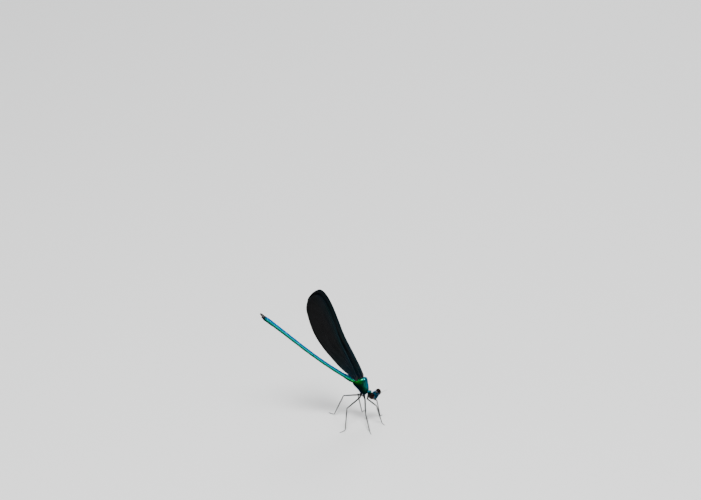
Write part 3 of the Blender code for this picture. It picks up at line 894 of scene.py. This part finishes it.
def abdomen_marks(x, y, z):
    """How far a point of the abdomen faces up, how black it is, and its share of the base's green."""
    at = np.interp(x, LINE[LINE_ORDER, 0], LINE_ORDER)
    distance = at / LINE_STEPS * ABDOMEN_LENGTH
    rise = z - float(np.interp(at, range(len(LINE)), LINE[:, 1]))
    dorsal = rise / max(1e-6, hypot(y, rise))
    joint = min(abs(distance - edge) for edge in SEGMENT_EDGES[1:-1])
    start = SEGMENT_EDGES[BLACK_AFTER]
    tip = max(0.0, distance - start) / (ABDOMEN_LENGTH - start)
    black = max(
        0.9 * bell(joint, 0.1),
        min(1.0, tip * 1.5) * (0.45 - 0.5 * dorsal),
        bell(ABDOMEN_LENGTH - distance, 0.9),
    )
    return dorsal, clamp(black), max(0.0, 1 - distance / GREEN_REACH), 0.0


def thorax_marks(x, y, z):
    """The same for a point of the thorax, with black seams and spiracle, and of the neck."""
    top, under = smooth_curve(THORAX_TOP, x), smooth_curve(THORAX_UNDER, x)
    dorsal = clamp((z - 0.5 * (top + under)) / (0.5 * (top - under)), -1.0)
    black = 0.0
    if x < SEAMS_END:
        seam = bell(seam_share(x, z)[0], SEAM_WIDTH) * min(1.0, abs(y) / 0.7)
        spiracle = bell(hypot(x - SPIRACLE[0], z - SPIRACLE[1]), 0.09)
        black = min(1.0, max(1.25 * seam, spiracle))
    if x > PRONOTUM_START:
        dorsal = clamp((z - PRONOTUM_HEIGHT) / 0.8, -1.0)
        black = max(bell(x - PRONOTUM_GROOVE, 0.05), 1.0 if x > NECK_START else 0.0)
    # The third value is the share of the rear ramp, with its painted green highlight on the flank.
    return dorsal, black, clamp((2.7 - x) / 1.4), 1.0


def build_skin(finish):
    """One closed skin over thorax, neck and abdomen, with values that place its markings."""
    skin = merged("body_skin", [thorax_shape(), abdomen_shape(), prothorax_shape()])
    places = vertex_places(skin.data)
    marks = [abdomen_marks(*p) if p[0] < WAIST else thorax_marks(*p) for p in places]
    settle(skin, dict(zip(("dorsal", "black", "root", "thorax"), zip(*marks))), BODY, finish)
    dress(skin, "metallic_blue", "thorax", "prothorax", *[f"abdomen_{n:02d}" for n in range(1, 11)])


def build_tail(finish):
    """Forceps of the upper appendages, each with a tooth, and the shorter lower pair."""
    tip, slope = abdomen_place(ABDOMEN_LENGTH)
    back = Vector((-cos(slope), 0, sin(slope)))
    for side, word in SIDES:
        stations = []
        for share in shares(17):
            bow = 0.26 * sin(pi * min(1.0, share * 0.92)) - 0.1 * share**2
            aside = Vector((0, side * (0.3 + bow), 0.34 + 0.06 * share))
            radius = 0.22 - 0.08 * share + 0.06 * bell(share - 0.62, 0.14)
            place = tip + back * (-0.22 + 1.98 * share) + aside
            stations.append((place, radius * (1 if share < 1 else 0.5)))
        root = tip + back * 0.95 + Vector((0, side * 0.42, 0.34))
        inward = Vector((0, -side, -0.12))
        tooth = tube([(root, 0.09), (root + inward * 0.14, 0.05), (root + inward * 0.22, 0.01)], 8)
        upper = [tube(stations, 16, 0.8), tooth]
        add_piece(f"upper_appendage_{word}", upper, BODY, finish, "black_cuticle", f"cercus_{word}")
        stations = []
        for share in shares(11):
            aside = Vector((0, side * (0.28 - 0.03 * share), -0.38 + 0.1 * share))
            place = tip + back * (-0.45 + 1.15 * share) + aside
            stations.append((place, (0.21 - 0.12 * share) * (1 if share < 1 else 0.4)))
        add_piece(f"lower_appendage_{word}", [tube(stations, 14)], BODY, finish, "black_cuticle")


# Wings


def wing_rounding(share):
    beyond = max(0.0, (min(share, 1.0) - WING_ROUND_START) / (1 - WING_ROUND_START))
    return (1 - beyond**WING_ROUND_POWER) ** (1 / WING_ROUND_POWER)


def wing_lead(share):
    return WING_TIP - (WING_TIP - smooth_curve(WING_LEAD, share)) * wing_rounding(share)


def wing_trail(share, chord):
    return WING_TIP + (chord * smooth_curve(WING_TRAIL, share) - WING_TIP) * wing_rounding(share)


def row_end(place):
    """Where the vein that starts at this share of the hinge meets the margin."""
    at = place * (len(VEIN_ENDS) - 1)
    i = min(int(at), len(VEIN_ENDS) - 2)
    return VEIN_ENDS[i] + (VEIN_ENDS[i + 1] - VEIN_ENDS[i]) * (at - i)


def row_bend(place):
    """How late a row leaves the hinge's direction: later for the veins in front than for the heel."""
    return VEIN_BEND + (HEEL_BEND - VEIN_BEND) * place**3


class Wing:
    """Maps a vein's place in the hinge and a share of the wing's length to a point of the blade."""

    def __init__(self, side, sizes):
        self.side, self.sizes = side, sizes
        rise = sizes["rise"]
        self.along = Vector((-cos(rise), 0, sin(rise)))
        self.behind = Vector((-sin(rise), 0, -cos(rise)))
        self.hinge = Vector((sizes["hinge"][0], 0, sizes["hinge"][1]))
        self.reaches = {}

    def across(self, place, share):
        if place not in self.reaches:
            end = row_end(place)
            self.reaches[place] = end, wing_trail(end, self.sizes["chord"]) - wing_lead(end)
        end, reach = self.reaches[place]
        step = min(1.0, share / end)
        drop = place * self.sizes["root_chord"] * (1 - step)
        return wing_lead(share) + drop + reach * step ** row_bend(place)

    def low(self, place, share):
        """How far behind the hinge's line a row lies, or past its end the margin."""
        if share <= row_end(place):
            return self.across(place, share)
        return wing_trail(share, self.sizes["chord"])

    def point(self, place, share, across=None):
        across = self.across(place, share) if across is None else across
        length = self.sizes["length"]
        settled = 1 - exp(-share * length / WING_SETTLE)
        lie = self.sizes["root_y"] + (self.sizes["blade_y"] - self.sizes["root_y"]) * settled
        step = min(1.0, share / row_end(place))
        fade = (1 - 0.75 * step) * min(1.0, 0.35 + share * 6)
        lie += PLEAT * fade * cos(pi * place * (len(VEIN_ENDS) - 1))
        centre = self.hinge + self.along * share * length + self.behind * across
        return centre + Vector((0, self.side * lie, 0))

    def sheen(self, place, share):
        return clamp(0.9 * bell(place, 0.16) * (1.15 - share) + 0.55 * bell(share, 0.24))


def membrane_shape(wing):
    """The film: a fan of fine rows, with the same triangles on both faces and a closed rim."""
    points, sheens = {1: [], -1: []}, []
    for place in shares(FILM_ROWS):
        for j in range(FILM_STEPS + 1):
            share = row_end(place) * sin(0.5 * pi * j / FILM_STEPS)
            centre = wing.point(place, share)
            for face in (1, -1):
                points[face].append(centre + Vector((0, face * FILM_HALF, 0)))
            sheens.append(wing.sheen(place, share))
    width = FILM_STEPS + 1
    count = (FILM_ROWS + 1) * width
    faces = []
    for i in range(FILM_ROWS):
        for j in range(FILM_STEPS):
            a = i * width + j
            cell = ((a, a + 1, a + width + 1), (a, a + width + 1, a + width))
            faces += cell
            faces += [(count + p, count + r, count + q) for p, q, r in cell]
    rim = list(range(width))
    rim += [i * width + FILM_STEPS for i in range(1, FILM_ROWS + 1)]
    rim += [FILM_ROWS * width + j for j in range(FILM_STEPS - 1, -1, -1)]
    rim += [i * width for i in range(FILM_ROWS - 1, 0, -1)]
    for a, b in zip(rim, rim[1:] + rim[:1]):
        faces.append((a, b, count + b, count + a))
    return (points[1] + points[-1], faces), sheens + sheens


def vein_net(wing, rng):
    """Long veins with their start, and cross veins, found by splitting each strip that grows too wide."""
    last = len(VEIN_ENDS) - 1
    mains = [i / last for i in range(last + 1)]
    long_veins = [(p, start, row_end(p), radius) for p, start, radius in zip(mains, VEIN_STARTS, VEIN_RADII)]
    subcosta = 0.5 * mains[1]
    long_veins.append((subcosta, 0.0, NODUS, SECTOR_RADIUS))
    # Strips between two veins, from one share of the length to another
    strips = [
        (0.0, subcosta, 0.02, NODUS),
        (subcosta, mains[1], 0.02, NODUS),
        (0.0, mains[1], NODUS, 0.99),
        (mains[1], mains[4], 0.035, 0.09),
        (mains[4], mains[7], 0.05, 0.12),
        (mains[5], mains[7], 0.125, 0.16),
    ]

    def split(first, second, start, depth):
        middle = 0.5 * (first + second)
        share = start
        while share < row_end(first):
            wide = wing.low(second, share) - wing.across(first, share)
            if wide > CELL_ACROSS and share < row_end(middle) - SPLIT_END and depth < SPLITS:
                strips.append((first, second, start, share))
                long_veins.append((middle, share, row_end(middle), SECTOR_RADIUS - 0.002 * depth))
                split(first, middle, share, depth + 1)
                split(middle, second, share, depth + 1)
                return
            share += 0.01
        strips.append((first, second, start, row_end(first)))

    for i in range(1, last):
        split(mains[i], mains[i + 1], max(VEIN_STARTS[i], VEIN_STARTS[i + 1], 0.02), 0)
    # Cross veins that sectors leave from, and the nodus
    cross = [
        (mains[1], mains[4], VEIN_STARTS[2], 0.038),
        (mains[4], mains[5], VEIN_STARTS[5], 0.034),
        (mains[5], mains[6], VEIN_STARTS[6], 0.03),
        (mains[4], mains[8], VEIN_STARTS[7], 0.034),
        (0.0, mains[1], NODUS, 0.045),
    ]
    cell = CELL_ALONG / wing.sizes["length"]
    for first, second, start, end in strips:
        share = start + rng.uniform(0.3, 0.9) * cell
        while share < end - 0.2 * cell:
            if wing.low(second, share) - wing.across(first, share) > 0.07:
                cross.append((first, second, share, CROSS_RADIUS))
            share += cell * rng.uniform(0.75, 1.25)
    return long_veins, cross


def margin_place(place, share):
    """The place of a vein, or past its end that of the row which meets the margin there."""
    if share <= row_end(place):
        return place
    return min(shares(200), key=lambda other: abs(row_end(other) - share))


def add_veins(bag, wing, rng):
    """Long veins, the vein round the margin, and cross veins with a small kink in each."""
    long_veins, cross = vein_net(wing, rng)
    for place, start, end, radius in long_veins:
        count = max(3, round((end - start) * wing.sizes["length"] / 0.9))
        stations = []
        for k in range(count + 1):
            share = start + (min(end, MARGIN) - start) * k / count
            stations.append((wing.point(place, share), radius * (1 - 0.45 * k / count)))
        sheen = wing.sheen(place, 0.5 * (start + end))
        bag.add(tube(stations, 6 if radius > 0.04 else 4), VEINS, sheen=sheen)
    margin = [(wing.point(place, row_end(place) * 0.9998), MARGIN_RADIUS) for place in shares(90)]
    bag.add(tube(margin, 5), VEINS, sheen=0.1)
    for first, second, share, radius in cross:
        here = wing.point(first, share)
        there = wing.point(margin_place(second, share), share, wing.low(second, share))
        middle = 0.5 * (here + there) + wing.along * rng.uniform(-0.03, 0.03)
        shape = tube([(here, radius), (middle, 0.9 * radius), (there, radius)], 4 if radius < 0.03 else 6)
        bag.add(shape, VEINS, sheen=wing.sheen(first, share))


def add_hinge(bag, wing):
    """Pads of the hinge, and the thick stems of the veins that leave it."""
    root = wing.point(0.5, 0.0)
    heel = Vector((root.x - 0.02, root.y * 0.9, root.z)) - wing.along * 0.62
    bag.add(ellipsoid(tuple(heel + wing.along * 0.12), (0.4, 0.2, 0.3), 20, 13), HINGE)
    for place, back, radii in HINGE_PADS:
        bag.add(ellipsoid(tuple(wing.point(place, 0.0) - wing.along * back), radii, 16, 11), HINGE)
    for place, thick in VEIN_STEMS:
        start = wing.point(place, 0.0)
        stations = [
            (heel.lerp(start, 0.25), thick * 0.9),
            (heel.lerp(start, 0.7), thick * 1.2),
            (start, thick * 1.15),
            (wing.point(place, 0.012), thick * 0.9),
            (wing.point(place, 0.03), thick * 0.6),
            (wing.point(place, 0.055), 0.045),
        ]
        bag.add(tube(stations, 12), HINGE)


def map_wing(piece, wing):
    """The wing's bake map, with the blade's two faces side by side."""
    turned = BODY.inverted()
    uv = []
    for polygon in piece.data.polygons:
        half = 0.5 if polygon.normal.y * wing.side > 0 else 0.0
        for index in polygon.vertices:
            p = turned @ (piece.data.vertices[index].co / MM) - wing.hinge
            uv.append(half + MAP_EDGE + MAP_HALF * (p.dot(wing.behind) + WING_MAP_START) / WING_MAP[0])
            uv.append(MAP_EDGE + MAP_FULL * (p.dot(wing.along) + WING_MAP_START) / WING_MAP[1])
    piece.data.uv_layers.new(name="OFBake").data.foreach_set("uv", uv)


def build_wing(name, side, word, sizes, finishes):
    """One wing as one mesh: film, veins and hinge."""
    wing = Wing(side, sizes)
    bag = Bag()
    film, sheens = membrane_shape(wing)
    bag.add(film, FILM, sheen=sheens)
    add_veins(bag, wing, random.Random(f"{name}{side}"))
    add_hinge(bag, wing)
    piece = make_piece(f"{name}_{word}_blade", bag, BODY, finishes, 40)
    map_wing(piece, wing)
    dress(piece, "dark_wing", f"{name}_{word}")


# Head


def sided(side, stations):
    """Stations of the head's left side, turned to a side."""
    return [(Vector((x, side * y, z)), radius) for x, y, z, radius in stations]


def build_capsule(finish):
    """Skull, frons, nose, cheeks and antenna sockets, black round the eyes, behind and in the seams."""
    shapes = [ellipsoid(*form) for form in HEAD_FORMS]
    shapes += [tube(sided(side, SOCKET), 16) for side, _ in SIDES]
    head = merged("head_capsule", shapes, HEAD_VOXEL)
    x, y, z = vertex_places(head.data).T
    y = np.abs(y)
    from_eye = (np.column_stack([x, y, z]) - EYE_CENTRE) / EYE_RADII
    black = np.maximum.reduce([
        bells(np.linalg.norm(from_eye, axis=1) - 1.0, 0.1),
        np.clip((-0.35 - x) / 0.25, 0, 1),
        0.9 * bells(z + 0.45, 0.045) * (x > 0.7),
        0.8 * bells(y - 0.62, 0.06) * (x > 0.3) * (z < 0.1),
        np.clip((-1.0 - z) / 0.12, 0, 1),
    ])
    settle(head, {"black": black}, HEAD, finish)
    dress(head, "metallic_blue", "head")


def build_lip(finish):
    """The upper lip, bulging at its top and notched in the middle of its lower edge."""
    rings = []
    for share in shares(14):
        half = LIP_HALF - 0.16 * share**2
        bulge = 1.16 - 0.34 * share**1.6
        ring = []
        for turn in turns(28):
            front = cos(turn)
            depth = bulge if front > 0 else 0.35
            forward = LIP_BACK + (depth - LIP_BACK) * abs(front) ** 0.7 * (1 if front > 0 else -0.4)
            across = half * sin(turn)
            notch = 0.07 * bell(across, 0.12) * (share > 0.8)
            ring.append((forward, across, LIP_TOP - 0.44 * share + notch))
        rings.append(ring)
    add_piece("labrum", [loft(rings)], HEAD, finish, "metallic_blue")


def build_mouth(black):
    """Mandibles, and the lower lip with its palps and the throat behind it."""
    jaws = [tube(sided(side, MANDIBLE), 14) for side, _ in SIDES]
    mask = [ellipsoid((0.2, 0, -1.34), (0.52, 0.46, 0.26), 32, 17)]
    mask += [tube(sided(side, PALP), 12) for side, _ in SIDES]
    mask.append(tube(sided(1, THROAT), 20))
    add_piece("mandibles", jaws, HEAD, black, "black_cuticle")
    add_piece("lower_lip", mask, HEAD, black, "black_cuticle", "labium")


def build_ocelli(lens):
    beads = [ellipsoid(place, (size, size, size * 0.85), 20, 11) for place, size in OCELLI]
    add_piece("ocelli", beads, HEAD, lens, "brown_eye")


def build_eyes_and_antennae(eye, black):
    for side, word in SIDES:
        ball = Bag()
        centre = (EYE_CENTRE[0], side * EYE_CENTRE[1], EYE_CENTRE[2])
        shape = ellipsoid(centre, EYE_RADII, 64, 41)
        ball.add(shape, height=[(p[2] - centre[2]) / EYE_RADII[2] for p in shape[0]])
        dress(make_piece(f"compound_eye_{word}", ball, HEAD, [eye]), "brown_eye", f"eye_{word}")
        start, way = (Vector((x, side * y, z)) for x, y, z in (ANTENNA_START, ANTENNA_WAY))
        stations = []
        for reach, radius in ANTENNA_JOINTS:
            rise = Vector((0, 0, ANTENNA_BEND * reach * reach))
            stations.append((start + way.normalized() * reach + rise, radius))
        add_piece(f"feeler_{word}", [tube(stations, 14)], HEAD, black, "black_cuticle", f"antenna_{word}")


# Legs


def limb_stations(hip, knee, ankle):
    """Stations along femur and tibia, each a little swollen midway, with the knee rounded between."""
    onward = (ankle - knee).normalized()
    before = knee - (knee - hip).normalized() * KNEE_ROUND
    beyond = knee + onward * KNEE_ROUND
    runs = []
    for start, end, radii in (
        (hip, before, FEMUR_RADII),
        (beyond, ankle - onward * ANKLE_INSET, TIBIA_RADII),
    ):
        near, far = radii
        run = []
        for share in shares(max(2, round((end - start).length / LEG_STEP))):
            swell = 1 + 0.12 * sin(pi * share)
            run.append((start.lerp(end, share), (near + (far - near) * share) * swell))
        runs.append(run)
    bend = []
    for t in shares(8)[1:-1]:
        point = (1 - t) ** 2 * before + 2 * t * (1 - t) * knee + t**2 * beyond
        bend.append((point, FEMUR_RADII[1] + (TIBIA_RADII[0] - FEMUR_RADII[1]) * t))
    return runs[0] + bend + runs[1]


def foot_shapes(ankle, toes):
    """Three tarsal joints, and the pair of claws on the last."""
    joints = []
    for share, height in TARSUS:
        joint = ankle + toes * share
        joint.z = height
        joints.append(joint)
    shapes = []
    for start, end in zip(joints, joints[1:]):
        shapes.append(tube([(start.lerp(end, share), radius) for share, radius in TARSAL_JOINT], 14))
    beside = Vector((-toes.y, toes.x, 0)).normalized()
    for way in (1, -1):
        stations = [(joints[-1], 0.06)]
        for ahead, aside, rise, radius in CLAW:
            place = joints[-1] + toes * ahead + beside * way * aside + Vector((0, 0, rise))
            stations.append((place, radius))
        shapes.append(tube(stations, 8))
    return shapes


def add_spines(bag, number, joints, rng):
    """Two rows of spines under femur and tibia, leaning towards the foot."""
    hip, knee, ankle = joints
    outward = Vector((0, 0, 1)).cross(ankle - knee).normalized()
    for segment, (start, end) in enumerate(((hip, knee), (knee, ankle))):
        reach, count, thick = SPINES[segment]
        along = (end - start).normalized()
        under = Vector((0, 0, -1)) - along * -along.z
        under = under.normalized() if under.length > 0.05 else outward
        across = along.cross(under).normalized()
        for row in (1, -1):
            lean = (across * row * 0.85 + under * 0.55).normalized()
            for k in range(count):
                share = 0.1 + 0.84 * (k + rng.uniform(-0.15, 0.15)) / (count - 1)
                swell = 0.62 + 0.38 * sin(pi * min(1, share + 0.15))
                length = reach * swell * rng.uniform(0.85, 1.1)
                base = start.lerp(end, clamp(share, 0.04, 0.97)) + lean * thick * 0.75
                tip = base + (lean * 0.86 + along * 0.52).normalized() * length
                if tip.z < 0.02:
                    continue
                patch_u = MAP_EDGE + (1 - 2 * MAP_EDGE) * (segment + share) / len(SPINES)
                patch_v = (2 * number + (row > 0) + 0.5) / (2 * len(LEGS))
                add_hair(bag, base, tip, 0.028, 4, (patch_u, patch_v), along * -0.02)


def build_leg(number, name, sizes, black, bristles, rng):
    """One leg: coxa, trochanter, femur, tibia and foot, and its spines into the shared bag."""
    below = Vector((ABDOMEN_BASE[0], ABDOMEN_BASE[1], 0))
    coxa, hip = (BODY @ Vector(place) for place in sizes[:2])
    knee = below + Vector(sizes[2])
    ankle = below + Vector((*sizes[3], ANKLE_HEIGHT))
    claw = below + Vector((*sizes[4], CLAW_HEIGHT))
    inner = coxa - (hip - coxa).normalized() * COXA_INSET
    bent = [coxa.lerp(hip, share) for share in TROCHANTER[0]]
    bent += [hip.lerp(knee, share) for share in TROCHANTER[1]]
    shapes = [
        tube([(inner.lerp(hip, share), radius) for share, radius in COXA_SWELL], 24),
        tube(list(zip(bent, TROCHANTER_RADII)), 22),
        tube(limb_stations(hip, knee, ankle), 16),
        *foot_shapes(ankle, claw - ankle),
    ]
    add_piece(name + "_limb", shapes, Matrix.Identity(4), black, "black_cuticle", name)
    add_spines(bristles, number, (hip, knee, ankle), rng)


# Hairs


def add_hair(bag, root, tip, radius, sides, patch, bend=None):
    """One tapering hair or spine, with the place of its root on the bake map."""
    bend = bend or Vector((0, 0, 0))
    middle = root.lerp(tip, 0.5) + bend
    shape = tube([(root, radius), (middle, radius * 0.65), (tip, radius * 0.15)], sides)
    bag.add(shape, patch_u=patch[0], patch_v=patch[1])


def build_hairs(name, bag, place, black):
    """Hairs as one mesh: each has a small patch of the bake map at its root's place on the skin."""
    piece = make_piece(name, bag, place, [black])
    mesh = piece.data
    us, vs = (np.array(bag.values[key]) for key in ("patch_u", "patch_v"))
    for key in ("patch_u", "patch_v"):
        mesh.attributes.remove(mesh.attributes[key])
    corners = np.empty(len(mesh.loops), dtype=np.int32)
    mesh.loops.foreach_get("vertex_index", corners)
    turn = corners * 2.4
    uv = np.column_stack([us[corners] + PATCH * np.cos(turn), vs[corners] + PATCH * np.sin(turn)])
    mesh.uv_layers.new(name="OFBake").data.foreach_set("uv", uv.ravel())
    dress(piece, "black_cuticle")


def strewn(rng, *ranges):
    """A vector drawn at random, each part from its range."""
    return Vector([rng.uniform(low, high) for low, high in ranges])


def build_thorax_hairs(black, rng):
    """Fine dark hairs on the thorax, with none between the wings."""
    coat = Bag()
    for _ in range(THORAX_HAIRS):
        x = rng.uniform(HAIR_REAR, HAIR_FRONT)
        turn = rng.uniform(0.06, tau - 0.06)
        at = Vector(thorax_point(x, turn))
        ahead = Vector(thorax_point(x + 0.01, turn)) - at
        beside = Vector(thorax_point(x, turn + 0.01)) - at
        out = beside.cross(ahead).normalized()
        if out.dot(at - Vector((x, 0, 0.5))) < 0:
            out = -out
        if x < 2.6 and cos(turn) > 0.55:
            continue
        lean = (out + strewn(rng, (-0.5, 0.1), (-0.2, 0.2), (-0.2, 0.2))).normalized()
        tip = at + lean * rng.uniform(0.2, 0.46)
        patch_u = MAP_EDGE + MAP_HALF * turn / tau
        patch_v = MAP_EDGE + MAP_FULL * (x - HAIR_REAR) / (HAIR_FRONT - HAIR_REAR)
        add_hair(coat, at - out * 0.02, tip, 0.009, 3, (patch_u, patch_v), Vector((0.02, 0, 0)))
    build_hairs("thorax_hairs", coat, BODY, black)


def build_head_hairs(black, rng):
    """Fine dark hairs on the head between the eyes."""
    brow = Bag()
    for _ in range(HEAD_HAIRS):
        centre, radii = rng.choice((CROWN, FRONT))
        turn, tilt = rng.uniform(0, tau), rng.uniform(*HAIR_TILTS)
        out = Vector((sin(tilt) * cos(turn), sin(tilt) * sin(turn), cos(tilt)))
        at = Vector(centre) + Vector(out[i] * radii[i] for i in range(3))
        gaps = zip((at.x, abs(at.y), at.z), EYE_CENTRE, EYE_CLEAR)
        if Vector([(place - eye) / clear for place, eye, clear in gaps]).length < 1.0:
            continue
        lean = (out + strewn(rng, (-0.2, 0.5), (-0.2, 0.2), (0, 0.4))).normalized()
        patch = (0.5 + MAP_EDGE + MAP_HALF * turn / tau, MAP_EDGE + MAP_FULL * tilt / 2)
        add_hair(brow, at - out * 0.04, at + lean * rng.uniform(0.14, 0.32), 0.008, 3, patch)
    build_hairs("head_hairs", brow, HEAD, black)


# Stage


def build_stage():
    """A pale floor, the room's light and three lamps."""
    floor = bpy.data.meshes.new("floor")
    corners = [(x * FLOOR_HALF, y * FLOOR_HALF, 0) for x, y in ((-1, -1), (1, -1), (1, 1), (-1, 1))]
    floor.from_pydata(corners, [], [(0, 1, 2, 3)])
    finish = Finish("pale floor", 0.7)
    cloud = finish.noise(3.0, 2.0)
    finish.feed("Base Color", finish.ramp(cloud, (0.3, 0.8, 0.8, 0.79), (0.7, 0.82, 0.82, 0.81)))
    floor.materials.append(finish.made)
    plane = add_object("floor", floor)

    world = bpy.data.worlds.new("studio")
    world.use_nodes = True
    background = world.node_tree.nodes["Background"]
    background.inputs["Color"].default_value = ROOM_COLOUR
    background.inputs["Strength"].default_value = ROOM_LIGHT
    bpy.context.scene.world = world
    for name, place, size, power in LAMPS:
        light = bpy.data.lights.new(name, "AREA")
        light.size = size
        light.energy = power
        lamp = add_object(name, light)
        lamp.location = place
        lamp.rotation_euler = (Vector(LAMP_AIM) - Vector(place)).to_track_quat("-Z", "Y").to_euler()


def build_camera():
    """The photograph's view: a long lens, a little to the left of square on and 23 degrees up."""
    turn, height = radians(VIEW_TURN), radians(VIEW_HEIGHT)
    back = Vector((sin(turn) * cos(height), -cos(turn) * cos(height), sin(height)))
    right = Vector((cos(turn), sin(turn), 0))
    up = back.cross(right)
    aim = Vector(ABDOMEN_BASE) + right * VIEW_SHIFT[0] + up * VIEW_SHIFT[1]
    camera = bpy.data.cameras.new("camera")
    camera.sensor_width = SENSOR
    camera.lens = SENSOR * VIEW_DISTANCE * PIXELS_PER_MM / FRAME_WIDTH
    camera.clip_start = 0.01
    camera.clip_end = 50.0
    seat = add_object("camera", camera)
    turned = Matrix((right, up, back)).transposed().to_4x4()
    seat.matrix_world = Matrix.Translation((aim + back * VIEW_DISTANCE) * MM) @ turned
    bpy.context.scene.camera = seat


def main():
    cuticle = cuticle_finish()
    face = head_finish()
    black = black_finish()
    eye = eye_finish()
    blade = [membrane_finish(), vein_finish(), black]
    build_camera()
    build_skin(cuticle)
    build_tail(black)
    for name, sizes in WINGS.items():
        for side, word in SIDES:
            build_wing(name, side, word, sizes, blade)
    build_capsule(face)
    build_lip(face)
    build_mouth(black)
    build_ocelli(ocellus_finish())
    build_eyes_and_antennae(eye, black)
    rng = random.Random(BRISTLE_SEED)
    bristles = Bag()
    for number, (name, sizes) in enumerate(LEGS.items()):
        build_leg(number, name, sizes, black, bristles, rng)
    build_hairs("leg_bristles", bristles, Matrix.Identity(4), black)
    rng = random.Random(COAT_SEED)
    build_thorax_hairs(black, rng)
    build_head_hairs(black, rng)
    build_stage()


main()
